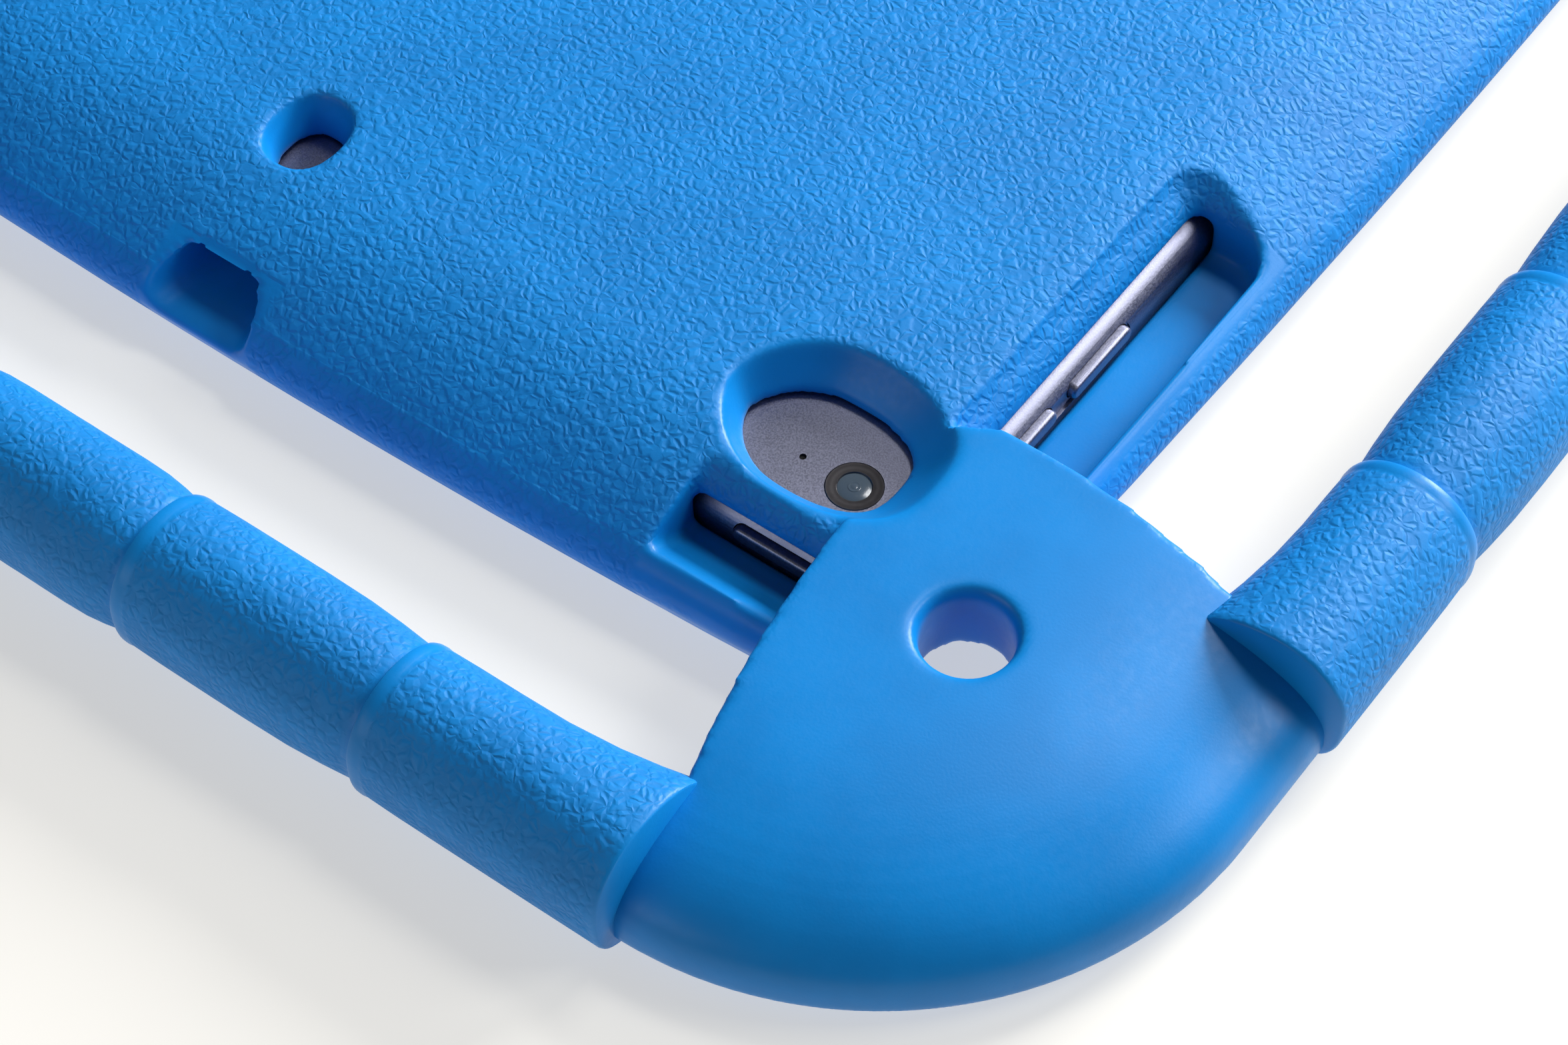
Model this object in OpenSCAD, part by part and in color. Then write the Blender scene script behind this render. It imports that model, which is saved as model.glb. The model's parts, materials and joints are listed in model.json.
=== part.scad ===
// Foam grip-frame case for a 9.7 inch tablet, lying on its face with its back up.
// X runs along the tablet's short side, Y along its long side and Z up; the tablet's
// camera corner is at +X -Y. The origin is on the floor under the middle of the case.

/* [Tablet] */
// Width of the tablet, short side
tablet_w = 169.5; // [168:0.1:171]
// Length of the tablet, long side
tablet_l = 240; // [238:0.5:242]
// Thickness of the tablet
tablet_t = 6.1; // [5.9:0.1:6.4]
// Radius of the tablet's corners
tablet_corner_r = 10; // [8:1:12]
// Wall of the tablet's housing
housing_wall = 1.2; // [1:0.1:1.5]
// Distance of the rear camera's centre from both edges
camera_inset = 11.2; // [10:0.1:12.5]
// Outer diameter of the rear camera's ring
camera_ring_d = 6.8; // [6:0.1:7.5]
// Diameter of the rear camera's glass
camera_glass_d = 4; // [3.5:0.1:4.5]
// Diameter of the home button
home_button_d = 11; // [10:0.5:12]

/* [Buttons] */
// Height of the side buttons' faces
button_h = 2.2; // [1.8:0.1:2.6]
// Distance that the side buttons stand out
button_proud = 0.5; // [0.3:0.1:0.7]
// Length of one volume button
volume_button_l = 12.2; // [11:0.1:13]
// Distance from the tablet's top edge to the volume up button
volume_from_top = 22.9; // [21:0.1:24]
// Gap between the two volume buttons
volume_gap = 3.2; // [2.5:0.1:4]
// Length of the power button
power_button_l = 13.4; // [12:0.1:14]
// Distance from the tablet's side to the power button
power_from_side = 6.5; // [6:0.1:8]
// Gap round every moving button
button_gap = 0.15; // [0.1:0.01:0.2]
// Depth of the recess that the two volume buttons share
volume_recess = 0.4; // [0.2:0.1:0.5]

/* [Tray] */
// Foam under the tablet's edge, where the front lip holds it
front_lip_t = 3.2; // [2.5:0.1:3.2]
// Distance that the front lip covers the tablet's edge
front_lip_cover = 5; // [3:0.5:7]
// Gap between the foam and the tablet
fit_gap = 0.3; // [0.2:0.05:0.5]
// Foam from the tablet's edge to the outside, at the corners
side_wall = 11.4; // [10:0.2:12]
// Extra foam at the middle of each side
side_bulge = 2.2; // [1:0.2:3]
// Height of the crease where the side band meets the roof
crease_z = 9.5; // [9:0.1:10]
// Inset of the crease from the widest line
crease_inset = 2.6; // [2:0.1:3]
// Height of the widest line
widest_z = 5.5; // [5:0.1:6]
// Rise of the rounded roof from the crease
roof_rise = 6; // [5:0.1:6.5]
// Run of the rounded roof from the crease
roof_run = 24; // [20:1:28]
// Extra height in the middle of the back
crown = 0.9; // [0.5:0.1:1.2]

/* [Corner guards] */
// Radius of the guard's outer edge about the tablet's corner
guard_r = 48.5; // [48:0.5:50]
// Height of the guard's domed top
guard_top = 15.6; // [15:0.1:16]
// Height of the line above the guard's rim band
guard_rim_z = 5.3; // [5:0.1:6]
// Height of the guard's underside
guard_under_z = 2; // [1.5:0.1:2.5]
// Diameter of the strap hole in each guard
strap_hole_d = 10.8; // [10:0.2:11]
// Distance of the strap hole from the tablet's long side
strap_hole_out = 12.8; // [12.5:0.1:13.5]
// Diameter of the recess round each strap hole, on the case's face
strap_recess_d = 19; // [17:0.5:20]
// Height of the recess's end
strap_recess_z = 5.5; // [4:0.5:6]

/* [Grip bars] */
// Diameter of the bars at their thickest
bar_d = 18; // [17:0.2:18]
// Distance from the tablet's short edge to the bar's middle
bar_out_short = 42.6; // [42:0.1:43]
// Distance from the tablet's long edge to the bar's middle
bar_out_long = 41.6; // [41:0.1:42]
// Depth of the groove at each rib
rib_depth = 0.8; // [0.4:0.1:1]

/* [Hidden] */
foam = "#2783d8";
metal = "#a09daa";
dark = "#26262b";
eps = 0.01;
half_w = tablet_w / 2;
half_l = tablet_l / 2;
glass_z = front_lip_t + 0.2;
back_z = glass_z + tablet_t;
pocket_z = back_z + 0.2;
lip_gap = 0.05;
glass_t = 0.7;
tray_x = half_w + side_wall;
tray_y = half_l + side_wall;
tray_corner_r = 19;
arc_steps = 8;
roof_steps = 6;
roof_power = 2.2;
crown_inset = 70;
// The edges of a guard, measured from the tray's middle
guard_x = 77.5;
guard_y = 95.5;
guard_bar_x = 84;
guard_bar_y = 101;
// Side slots in the tray: the floor, and the roof of their way under the guards
slot_floor_z = 4.6;
tunnel_roof_z = 11.6;
slot_wall = 8.9;
slot_end_r = 4.5;
volume_slot_end = 52.6;
volume_slot_hidden_end = 103;
power_slot_end = 60.4;
power_slot_hidden_end = 84;
mic_slot_x = [-12.4, 3.2];
jack_x = -70;
jack_slot_half = 6;
port_slot_half = 9;
speaker_x = 38;
speaker_slot_half = 12;
side_z = glass_z + 3.1;
strap_hole_back = 1.2;
// The camera opening, as circles about the camera: [x, y, radius]
window_circles = [[0.5, 2.4, 4.6], [-1.4, -0.2, 5.2], [-5.7, 2.9, 6.2], [-10.6, 2.4, 4.6]];
window_flare = 3.4;
sound_hole = [-7.4, -107.8];
sound_hole_r = 3.4;
sound_hole_stretch = 1.1;
sound_hole_flare = 1.7;
slot_top = 12.2;
above = 22;
home_stem_d = 6;
home_stem_h = 1.5;
button_root = 0.4;
relief_h = 3;
camera_x = half_w - camera_inset;
camera_y = -half_l + camera_inset;
mic_x = camera_x - 7.2;
home_y = half_l - 11.5;
front_camera_y = -half_l + 8.5;
// What the tablet holds inside: [x, y, z] sizes and places from its middle
display_size = [152, 200, 1.6];
battery_size = [68, 130, 2.2];
battery_x = [-70, 2];
battery_y = -62;
inner_z = 1.7;
board_corner = [-70, -104];
board_size = [126, 36, 0.8];
chip_x = [-60, -36, -8, 18];
chip_y = -98;
chip_size = [15, 15, 1];
shield_corner = [34, -92];
shield_size = [14, 18, 1.2];
board_screws = [[-66, -100], [52, -100]];
screw_d = 2.2;
camera_block = [8.4, 8.4, 2.2];
camera_barrel_d = 4.6;
camera_barrel_h = 0.9;
port_size = [8.8, 8, 2.6];
port_mouth = [7.8, 8, 1.8];
jack_d = 3.5;
jack_bore_d = 2.6;
jack_l = 12;
speaker_size = [24, 6.4, 3.2];
button_relief_out = 1;
button_room = 1;
cavity_z = glass_z + glass_t;
bar_r = bar_d / 2;
bar_inner_x = half_w + bar_out_long - bar_r - 0.1;
bar_inner_y = half_l + bar_out_short - bar_r - 0.1;
rib_run = 5;
// Ribs along each bar, from its middle
short_ribs = [17, 51];
long_ribs = [0, 41.5, 75.4];

// An outline with round corners and gently bulging sides, as a list of points.
function arc(cx, cy, r, from) = [for (i = [0 : arc_steps])
    [cx + r * cos(from + 90 * i / arc_steps), cy + r * sin(from + 90 * i / arc_steps)]];
function side(from, to, push) = [for (i = [1 : arc_steps - 1])
    let (t = i / arc_steps, b = 4 * t * (1 - t)) from + t * (to - from) + b * push];
function outline(hx, hy, r, bulge) = concat(
    arc(hx - r, hy - r, r, 0), side([hx - r, hy], [r - hx, hy], [0, bulge]),
    arc(r - hx, hy - r, r, 90), side([-hx, hy - r], [-hx, r - hy], [-bulge, 0]),
    arc(r - hx, r - hy, r, 180), side([r - hx, -hy], [hx - r, -hy], [0, -bulge]),
    arc(hx - r, r - hy, r, 270), side([hx, r - hy], [hx, hy - r], [bulge, 0]));

module plate(hx, hy, r, z0, z1, bulge = 0)
    translate([0, 0, z0]) linear_extrude(z1 - z0) polygon(outline(hx, hy, r, bulge));

// A slice of the tray's outside, inset from its widest line.
module tray_slice(inset, z, bulge = side_bulge)
    plate(tray_x - inset, tray_y - inset, max(tray_corner_r - inset, 4), z - eps, z, bulge);

function roof_z(run) = crease_z + roof_rise * (1 - pow(1 - run / roof_run, roof_power));

module tray_outside() hull() {
    tray_slice(0.9, front_lip_t + lip_gap + eps);
    tray_slice(0, widest_z);
    for (i = [0 : roof_steps]) let (run = roof_run * i / roof_steps)
        tray_slice(crease_inset + run, roof_z(run));
    tray_slice(crown_inset, crease_z + roof_rise + crown, 0);
}

module pocket()
    plate(half_w + fit_gap, half_l + fit_gap, tablet_corner_r + fit_gap, -eps, pocket_z);

// The camera opening: an egg-shaped hole that flares out to the back.
module camera_egg(grow, z) translate([camera_x, camera_y, z]) linear_extrude(eps) hull()
    for (c = window_circles) translate([c.x, c.y]) circle(r = c.z + grow, $fn = 32);

module camera_opening() hull() {
    camera_egg(0, back_z);
    camera_egg(0.3, back_z + 1);
    camera_egg(window_flare, guard_top + 1);
}

// A side slot: it opens outwards above its lip and shows the tablet's edge.
module slot_x(x0, x1, out, z1) translate([x0, 0, slot_floor_z])
    cube([x1 - x0, out, z1 - slot_floor_z]);

module top_slot(x0, x1, z1) translate([0, -half_l - slot_wall - 1, 0])
    slot_x(x0, x1, slot_wall + 1.5, z1);

module bottom_slot(x0, x1, z1) translate([0, half_l - 0.5, 0])
    slot_x(x0, x1, slot_wall + 1.5, z1);

module volume_slot() translate([half_w - 1.2, 0, slot_floor_z]) {
    translate([0, -volume_slot_hidden_end, 0])
        cube([slot_wall + 1.2, volume_slot_hidden_end - volume_slot_end - slot_end_r, 20]);
    translate([slot_end_r, -volume_slot_end - slot_end_r, 0])
        cylinder(r = slot_end_r, h = 20, $fn = 48);
    translate([slot_wall + 1.2 - slot_end_r, -volume_slot_end - slot_end_r, 0])
        cylinder(r = slot_end_r, h = 20, $fn = 48);
    translate([slot_end_r, -volume_slot_end - slot_end_r, 0])
        cube([slot_wall + 1.2 - 2 * slot_end_r, slot_end_r, 20]);
}

// The oval hole in the back, which flares out like the camera opening.
module mic_hole() hull() for (s = [-1, 1], end = [0, 1])
    translate([sound_hole.x, sound_hole.y + s * sound_hole_stretch,
        end == 0 ? pocket_z - 1 : guard_top + 2])
        cylinder(r = sound_hole_r + end * sound_hole_flare, h = eps, $fn = 32);

// The ground that one guard covers, for the corner at +X -Y.
module guard_ground() polygon(concat(
    [[guard_x, -guard_y], [half_w + 15, -guard_y], [bar_inner_x, -guard_y - 2.4],
     [bar_inner_x, -guard_bar_y], [half_w + guard_r + 1, -guard_bar_y]],
    [for (i = [0 : 16]) let (a = -90 * i / 16)
        [half_w + (guard_r + 1) * cos(a), -half_l + (guard_r + 1) * sin(a)]],
    [[guard_bar_x, -half_l - guard_r - 1], [guard_bar_x, -bar_inner_y],
     [guard_x + 1.5, -half_l - 17], [guard_x, -half_l - 2]]));

// The strap hole of the corner at +X -Y, with a recess round it on the case's face.
module strap_hole() translate([half_w + strap_hole_out, -half_l - strap_hole_back, -1]) {
    cylinder(d = strap_hole_d, h = above, $fn = 64);
    cylinder(d = strap_recess_d, h = strap_recess_z + 1, $fn = 64);
}

// Room for the side buttons as the tablet comes out through the front.
module button_relief() {
    translate([0, -half_l + volume_from_top - 1, front_lip_t - 1]) cube([
        half_w + button_relief_out, 2 * volume_button_l + volume_gap + 2, relief_h]);
    translate([half_w - power_from_side - power_button_l - 1,
        -half_l - button_relief_out, front_lip_t - 1])
        cube([power_button_l + 2, button_relief_out + 1, relief_h]);
}

module at_corners() {
    children();
    mirror([1, 0, 0]) children();
    mirror([0, 1, 0]) children();
    mirror([1, 0, 0]) mirror([0, 1, 0]) children();
}

// The whole tray: the walls round the tablet, and the panel over its back.
module tray() difference() {
    tray_outside();
    pocket();
    at_corners() {
        translate([0, 0, pocket_z]) linear_extrude(12) guard_ground();
        strap_hole();
    }
    button_relief();
    camera_opening();
    mic_hole();
    volume_slot();
    top_slot(power_slot_end, power_slot_hidden_end, above);
    top_slot(mic_slot_x[0], mic_slot_x[1], slot_top);
    top_slot(jack_x - jack_slot_half, jack_x + jack_slot_half, slot_top);
    bottom_slot(-port_slot_half, port_slot_half, slot_top);
    for (s = [-1, 1]) bottom_slot(
        s * speaker_x - speaker_slot_half, s * speaker_x + speaker_slot_half, slot_top);
}

module above_pocket() translate([-tray_x - 9, -tray_y - 9, pocket_z])
    cube([2 * tray_x + 18, 2 * tray_y + 18, guard_top]);
module back_panel() color(foam) intersection() {
    tray();
    above_pocket();
}
module side_walls() color(foam) difference() {
    tray();
    above_pocket();
}

module front_lip() color(foam) difference() {
    hull() {
        tray_slice(3.4, eps);
        tray_slice(1.7, 1.2);
        tray_slice(0.95, front_lip_t);
    }
    plate(half_w - front_lip_cover, half_l - front_lip_cover, 6, -1, front_lip_t + 1);
    at_corners() strap_hole();
}

// The guard's section, from the tablet's corner (0) out to the rim band.
function dome_z(r) = guard_rim_z
    + (guard_top - guard_rim_z) * sqrt(1 - pow(min(r / guard_r, 1), 4));
dome_steps = 12;
dome = concat([for (i = [0 : dome_steps]) let (r = guard_r * sin(90 * i / dome_steps))
    [r, dome_z(r)]], [[guard_r, guard_under_z + 1], [guard_r - 1, guard_under_z],
    [0, guard_under_z]]);

module guard_body() {
    translate([half_w, -half_l, 0]) rotate([0, 0, -90])
        rotate_extrude(angle = 90, $fn = 96) polygon(dome);
    translate([half_w, -guard_y, 0]) rotate([90, 0, 0])
        linear_extrude(half_l - guard_y) polygon(dome);
    translate([guard_x, -half_l, 0]) rotate([90, 0, 90]) mirror([1, 0, 0])
        linear_extrude(half_w - guard_x) polygon(dome);
    translate([guard_x, -half_l, guard_under_z])
        cube([half_w - guard_x, half_l - guard_y, guard_top - guard_under_z]);
}

// A guard trimmed to its ground, on top of the tray's corner and outside its wall.
module corner_guard() difference() {
    intersection() {
        guard_body();
        linear_extrude(20) guard_ground();
    }
    plate(tray_x + lip_gap, tray_y + lip_gap, tray_corner_r, -1, pocket_z + eps, side_bulge);
    strap_hole();
}

module slot_tunnels() {
    translate([half_w - 1.2, -volume_slot_hidden_end, pocket_z - 1])
        cube([slot_wall + 1.2, 10, tunnel_roof_z - pocket_z + 1]);
    translate([guard_x - 1, -half_l - slot_wall - 1, pocket_z - 1])
        cube([power_slot_hidden_end - guard_x + 1, slot_wall + 1.5,
            tunnel_roof_z - pocket_z + 1]);
}

module corner_guard_camera() color(foam) difference() {
    corner_guard();
    slot_tunnels();
    camera_opening();
}
module corner_guard_jack() color(foam) mirror([1, 0, 0]) corner_guard();
module corner_guard_bottom_left() color(foam)
    mirror([1, 0, 0]) mirror([0, 1, 0]) corner_guard();
module corner_guard_bottom_right() color(foam) mirror([0, 1, 0]) corner_guard();

// Half a ribbed bar along +Z: each segment slopes into a groove and ends in a shoulder.
function rib_points(z) = [[bar_r - rib_depth, z], [bar_r - 0.1, z + 0.7]];
function bar_half(ribs, end) = concat([[0, 0]],
    ribs[0] > 0 ? [[bar_r, 0]] : [],
    [for (z = ribs) each concat(z > 0 ? [[bar_r, z - rib_run]] : [], rib_points(z))],
    [[bar_r, end - 6], [bar_r, end], [0, end]]);
module bar(ribs, end) for (s = [0, 1]) mirror([0, 0, s])
    rotate_extrude($fn = 64) polygon(bar_half(ribs, end));

module bar_along_x() rotate([0, 90, 0]) bar(short_ribs, guard_bar_x);
module bar_along_y() rotate([90, 0, 0]) bar(long_ribs, guard_bar_y);
module grip_bar_top() color(foam)
    translate([0, -half_l - bar_out_short, bar_r]) bar_along_x();
module grip_bar_bottom() color(foam)
    translate([0, half_l + bar_out_short, bar_r]) bar_along_x();
module grip_bar_volume_side() color(foam)
    translate([half_w + bar_out_long, 0, bar_r]) bar_along_y();
module grip_bar_plain_side() color(foam)
    translate([-half_w - bar_out_long, 0, bar_r]) bar_along_y();

// A pill-shaped button bar, long along X, standing out of the face at -Y.
module pill(length, height, depth) rotate([90, 0, 0]) linear_extrude(depth) union() {
    translate([height / 2, 0]) circle(d = height, $fn = 32);
    translate([length - height / 2, 0]) circle(d = height, $fn = 32);
    translate([height / 2, -height / 2]) square([length - height, height]);
}
module button(length) pill(length, button_h, button_proud + housing_wall + button_root);
// The hole runs on inwards, past the pressed button's back and the corner's thicker wall.
module button_hole(length) translate([-button_gap, button_room, 0])
    pill(length + 2 * button_gap, button_h + 2 * button_gap, button_room + housing_wall + 2);

module at_volume(n) translate([half_w - housing_wall - button_root,
        -half_l + volume_from_top + n * (volume_button_l + volume_gap), side_z])
    rotate([0, 0, 90]) children();
// The shallow recess round both volume buttons.
module volume_button_recess() at_volume(0)
    translate([-button_gap, volume_recess - housing_wall - button_root, 0])
        pill(2 * (volume_button_l + button_gap) + volume_gap, button_h + 2 * button_gap, 1);
module at_power() translate([half_w - power_from_side - power_button_l,
        -half_l + housing_wall + button_root, side_z]) children();

module housing_post(r, z) translate([0, 0, z]) cylinder(r = r, h = eps, $fn = 48);
module tablet_outside() hull() for (sx = [-1, 1], sy = [-1, 1])
    translate([sx * (half_w - tablet_corner_r), sy * (half_l - tablet_corner_r), 0]) {
        housing_post(tablet_corner_r - 0.4, glass_z);
        housing_post(tablet_corner_r, glass_z + 0.5);
        housing_post(tablet_corner_r, glass_z + 4.2);
        housing_post(tablet_corner_r - 0.35, glass_z + 5.2);
        housing_post(tablet_corner_r - 1.1, glass_z + 5.8);
        housing_post(tablet_corner_r - 2.4, back_z - eps);
    }

module tablet_housing() color(metal) difference() {
    tablet_outside();
    plate(half_w - 0.8, half_l - 0.8, tablet_corner_r - 0.8, glass_z - 1, cavity_z + eps);
    plate(half_w - housing_wall, half_l - housing_wall, tablet_corner_r - housing_wall,
        cavity_z, back_z - housing_wall);
    translate([camera_x, camera_y, 0])
        cylinder(d = camera_ring_d + 0.1, h = 20, $fn = 64);
    translate([mic_x, camera_y, 0]) cylinder(d = 0.95, h = 20, $fn = 24);
    for (n = [0, 1]) at_volume(n) button_hole(volume_button_l);
    volume_button_recess();
    at_power() button_hole(power_button_l);
    translate([-4.5, half_l - 2, side_z - 1.4]) cube([9, 4, 2.8]);
    translate([jack_x, -half_l + 2, side_z - 0.1]) rotate([90, 0, 0])
        cylinder(d = 3.6, h = 4, $fn = 32);
    for (s = [-1, 1], i = [-5 : 5]) translate([s * speaker_x + 2 * i, half_l + 1, side_z])
        rotate([90, 0, 0]) cylinder(d = 1.1, h = 3, $fn = 16);
}

module display_glass() color(dark) difference() {
    plate(half_w - 0.9, half_l - 0.9, tablet_corner_r - 0.9, glass_z, cavity_z - 0.02);
    translate([0, home_y, 0]) cylinder(d = home_button_d + 2 * button_gap, h = 9, $fn = 64);
    translate([0, front_camera_y, 0]) cylinder(d = 3.1, h = 9, $fn = 32);
}

module display_panel() color("#1c2b44")
    translate([-display_size.x / 2, -display_size.y / 2, cavity_z]) cube(display_size);

module battery_cells() color("#3c3c42") for (x = battery_x)
    translate([x, battery_y, cavity_z + inner_z]) cube(battery_size);

module logic_board() color("#22543a") difference() {
    union() {
        translate([board_corner.x, board_corner.y, cavity_z + inner_z]) cube(board_size);
        translate([0, 0, cavity_z + inner_z + board_size.z]) {
            for (x = chip_x) translate([x, chip_y]) cube(chip_size);
            translate(shield_corner) cube(shield_size);
        }
    }
    for (screw = board_screws) translate(screw) cylinder(d = screw_d, h = above, $fn = 24);
}

module rear_camera_module() color(dark) translate([camera_x, camera_y, 0]) {
    translate([-camera_block.x / 2, -camera_block.y / 2, cavity_z + 0.6]) cube(camera_block);
    translate([0, 0, cavity_z + 0.6 + camera_block.z])
        cylinder(d = camera_barrel_d, h = camera_barrel_h, $fn = 48);
}

module rear_camera_ring() color("#4a4a50") translate([camera_x, camera_y, back_z - 1])
    difference() {
        cylinder(d = camera_ring_d, h = 1.05, $fn = 64);
        translate([0, 0, -1]) cylinder(d = camera_glass_d + 0.1, h = 4, $fn = 64);
    }

module rear_camera_window() color("#2f4650") translate([camera_x, camera_y, back_z - 0.5])
    cylinder(d = camera_glass_d, h = 0.5, $fn = 64);

// The front lens of the camera, close under its glass.
module rear_camera_lens() color("#20262c") translate([camera_x, camera_y, back_z - 1.1])
    cylinder(d = 2.6, h = 0.55, $fn = 48);

module rear_microphone() color("black") translate([mic_x, camera_y, back_z - 1.1])
    cylinder(d = 0.9, h = 0.8, $fn = 24);

module front_camera() color("black") translate([0, front_camera_y, glass_z + 0.05])
    cylinder(d = 3, h = 2.4, $fn = 32);

module charging_socket() color(metal) translate([0, half_l - 8.2, side_z]) difference() {
    translate([-port_size.x / 2, 0, -port_size.z / 2]) cube(port_size);
    translate([-port_mouth.x / 2, 1, -port_mouth.z / 2]) cube(port_mouth);
}

module headphone_socket() color(dark) translate([jack_x, -half_l + 0.3, side_z - 0.1])
    rotate([-90, 0, 0]) difference() {
        cylinder(d = jack_d, h = jack_l, $fn = 48);
        translate([0, 0, -1]) cylinder(d = jack_bore_d, h = jack_l, $fn = 48);
    }

module speaker_modules() color(dark) for (s = [-1, 1])
    translate([s * speaker_x - speaker_size.x / 2, half_l - 8, cavity_z + 0.5])
        cube(speaker_size);

module home_button() color("#303036") translate([0, home_y, glass_z]) {
    cylinder(d = home_button_d, h = glass_t, $fn = 64);
    translate([0, 0, glass_t]) cylinder(d = home_stem_d, h = home_stem_h, $fn = 48);
}

module power_button() color(metal) at_power() button(power_button_l);
module volume_up_button() color(metal) at_volume(0) button(volume_button_l);
module volume_down_button() color(metal) at_volume(1) button(volume_button_l);

back_panel();
side_walls();
front_lip();
corner_guard_camera();
corner_guard_jack();
corner_guard_bottom_left();
corner_guard_bottom_right();
grip_bar_top();
grip_bar_bottom();
grip_bar_volume_side();
grip_bar_plain_side();
tablet_housing();
display_glass();
display_panel();
battery_cells();
logic_board();
rear_camera_module();
rear_camera_ring();
rear_camera_window();
rear_camera_lens();
rear_microphone();
front_camera();
charging_socket();
headphone_socket();
speaker_modules();
home_button();
power_button();
volume_up_button();
volume_down_button();
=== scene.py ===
"""The look of a foam tablet case with grip bars, and of the tablet in it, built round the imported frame.

The foam is modelled as one body, softened as a mould softens it, and then parted at its pieces.
Sizes are in millimetres and MM turns them into metres. X runs along the tablet's short side, Y along
its long side, Z up; the case lies on its face, with the tablet's camera corner at +X -Y.
"""

import json
import logging
import math
from collections.abc import Callable, Sequence
from dataclasses import dataclass, field
from enum import Enum

import bpy
import numpy as np
from mathutils import Matrix, Vector


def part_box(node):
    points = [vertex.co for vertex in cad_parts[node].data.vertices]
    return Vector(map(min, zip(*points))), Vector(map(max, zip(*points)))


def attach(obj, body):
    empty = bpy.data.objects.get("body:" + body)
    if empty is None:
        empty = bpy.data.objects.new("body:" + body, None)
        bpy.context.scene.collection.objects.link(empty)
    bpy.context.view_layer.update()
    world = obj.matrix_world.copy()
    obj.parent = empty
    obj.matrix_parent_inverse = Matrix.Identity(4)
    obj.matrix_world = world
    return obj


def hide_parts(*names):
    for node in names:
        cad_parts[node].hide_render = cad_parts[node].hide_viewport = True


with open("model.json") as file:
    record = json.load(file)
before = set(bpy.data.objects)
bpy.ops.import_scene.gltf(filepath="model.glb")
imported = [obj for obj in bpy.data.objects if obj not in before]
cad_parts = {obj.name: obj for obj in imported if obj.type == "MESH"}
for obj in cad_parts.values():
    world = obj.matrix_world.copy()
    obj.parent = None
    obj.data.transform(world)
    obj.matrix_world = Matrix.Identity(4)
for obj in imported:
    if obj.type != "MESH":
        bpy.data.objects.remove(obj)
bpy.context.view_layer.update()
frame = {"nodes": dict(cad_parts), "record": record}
CORNERS = ((1, 1), (1, -1), (-1, 1), (-1, -1))

LOG = logging.getLogger("tablet_case")
MM = 0.001
WELD = 1e-6
# The grid that softens the foam, in millimetres.
VOXEL = 0.55
MOST_TRIANGLES = 190000

Point2 = tuple[float, float]
Point3 = tuple[float, float, float]
Piece = bpy.types.Object
Curve = Sequence[Point2]


# ---------------------------------------------------------------- hand tools


class Cut(Enum):
    """What a tool does to the piece that it meets."""

    ADD = "UNION"
    REMOVE = "DIFFERENCE"
    KEEP = "INTERSECT"


def select_only(piece: Piece | None) -> None:
    """Leaves one piece selected and active, or none.

    Args:
        piece: the piece to select, or None.
    """
    if bpy.context.object and bpy.context.object.mode != "OBJECT":
        bpy.ops.object.mode_set(mode="OBJECT")
    bpy.ops.object.select_all(action="DESELECT")
    bpy.context.view_layer.objects.active = piece
    if piece:
        piece.select_set(True)


def apply_modifier(piece: Piece, kind: str, **settings: object) -> None:
    """Adds a modifier to a piece and applies it.

    Args:
        piece: the piece to change.
        kind: the modifier's type.
        settings: its properties.
    """
    select_only(piece)
    modifier = piece.modifiers.new(kind.lower(), kind)
    for name, value in settings.items():
        setattr(modifier, name, value)
    bpy.ops.object.modifier_apply(modifier=modifier.name)


def carve(piece: Piece, tool: Piece, how: Cut, keep_tool: bool = False) -> Piece:
    """Adds, removes or keeps what a closed tool covers.

    Args:
        piece: the closed piece to change.
        tool: the closed solid that does it.
        how: what the tool does.
        keep_tool: whether the tool is needed again.

    Returns:
        The changed piece.
    """
    apply_modifier(piece, "BOOLEAN", operation=how.value, solver="MANIFOLD", object=tool)
    if not keep_tool:
        bpy.data.objects.remove(tool)
    return piece


def copy_of(piece: Piece, name: str) -> Piece:
    """Copies a piece with a mesh of its own.

    Args:
        piece: the piece to copy.
        name: the copy's name.

    Returns:
        The copy.
    """
    twin = piece.copy()
    twin.data = piece.data.copy()
    twin.name = name
    bpy.context.scene.collection.objects.link(twin)
    return twin


def turn_out(piece: Piece) -> Piece:
    """Merges doubles and points all faces outwards."""
    select_only(piece)
    bpy.ops.object.mode_set(mode="EDIT")
    bpy.ops.mesh.select_all(action="SELECT")
    bpy.ops.mesh.remove_doubles(threshold=WELD)
    bpy.ops.mesh.normals_make_consistent(inside=False)
    bpy.ops.object.mode_set(mode="OBJECT")
    return piece


def mirrored(piece: Piece, name: str, x: int, y: int) -> Piece:
    """Copies a piece to another corner of the case.

    Args:
        piece: the piece at +X -Y.
        name: the copy's name.
        x: -1 to mirror it across X, or 1.
        y: -1 to mirror it across Y, or 1.

    Returns:
        The copy, in place.
    """
    twin = copy_of(piece, name)
    if (x, y) == (1, 1):
        return twin
    twin.scale = (x, y, 1)
    select_only(twin)
    bpy.ops.object.transform_apply(location=False, rotation=False, scale=True)
    return turn_out(twin)


def smooth_finish(piece: Piece, degrees: float) -> None:
    """Shades a piece smoothly, apart from its sharp edges."""
    select_only(piece)
    bpy.ops.object.shade_smooth_by_angle(angle=math.radians(degrees))


def at_height(outline: Curve, z: float) -> list[Point3]:
    """Lays a flat outline at a height."""
    return [(x, y, z) for x, y in outline]


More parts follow.
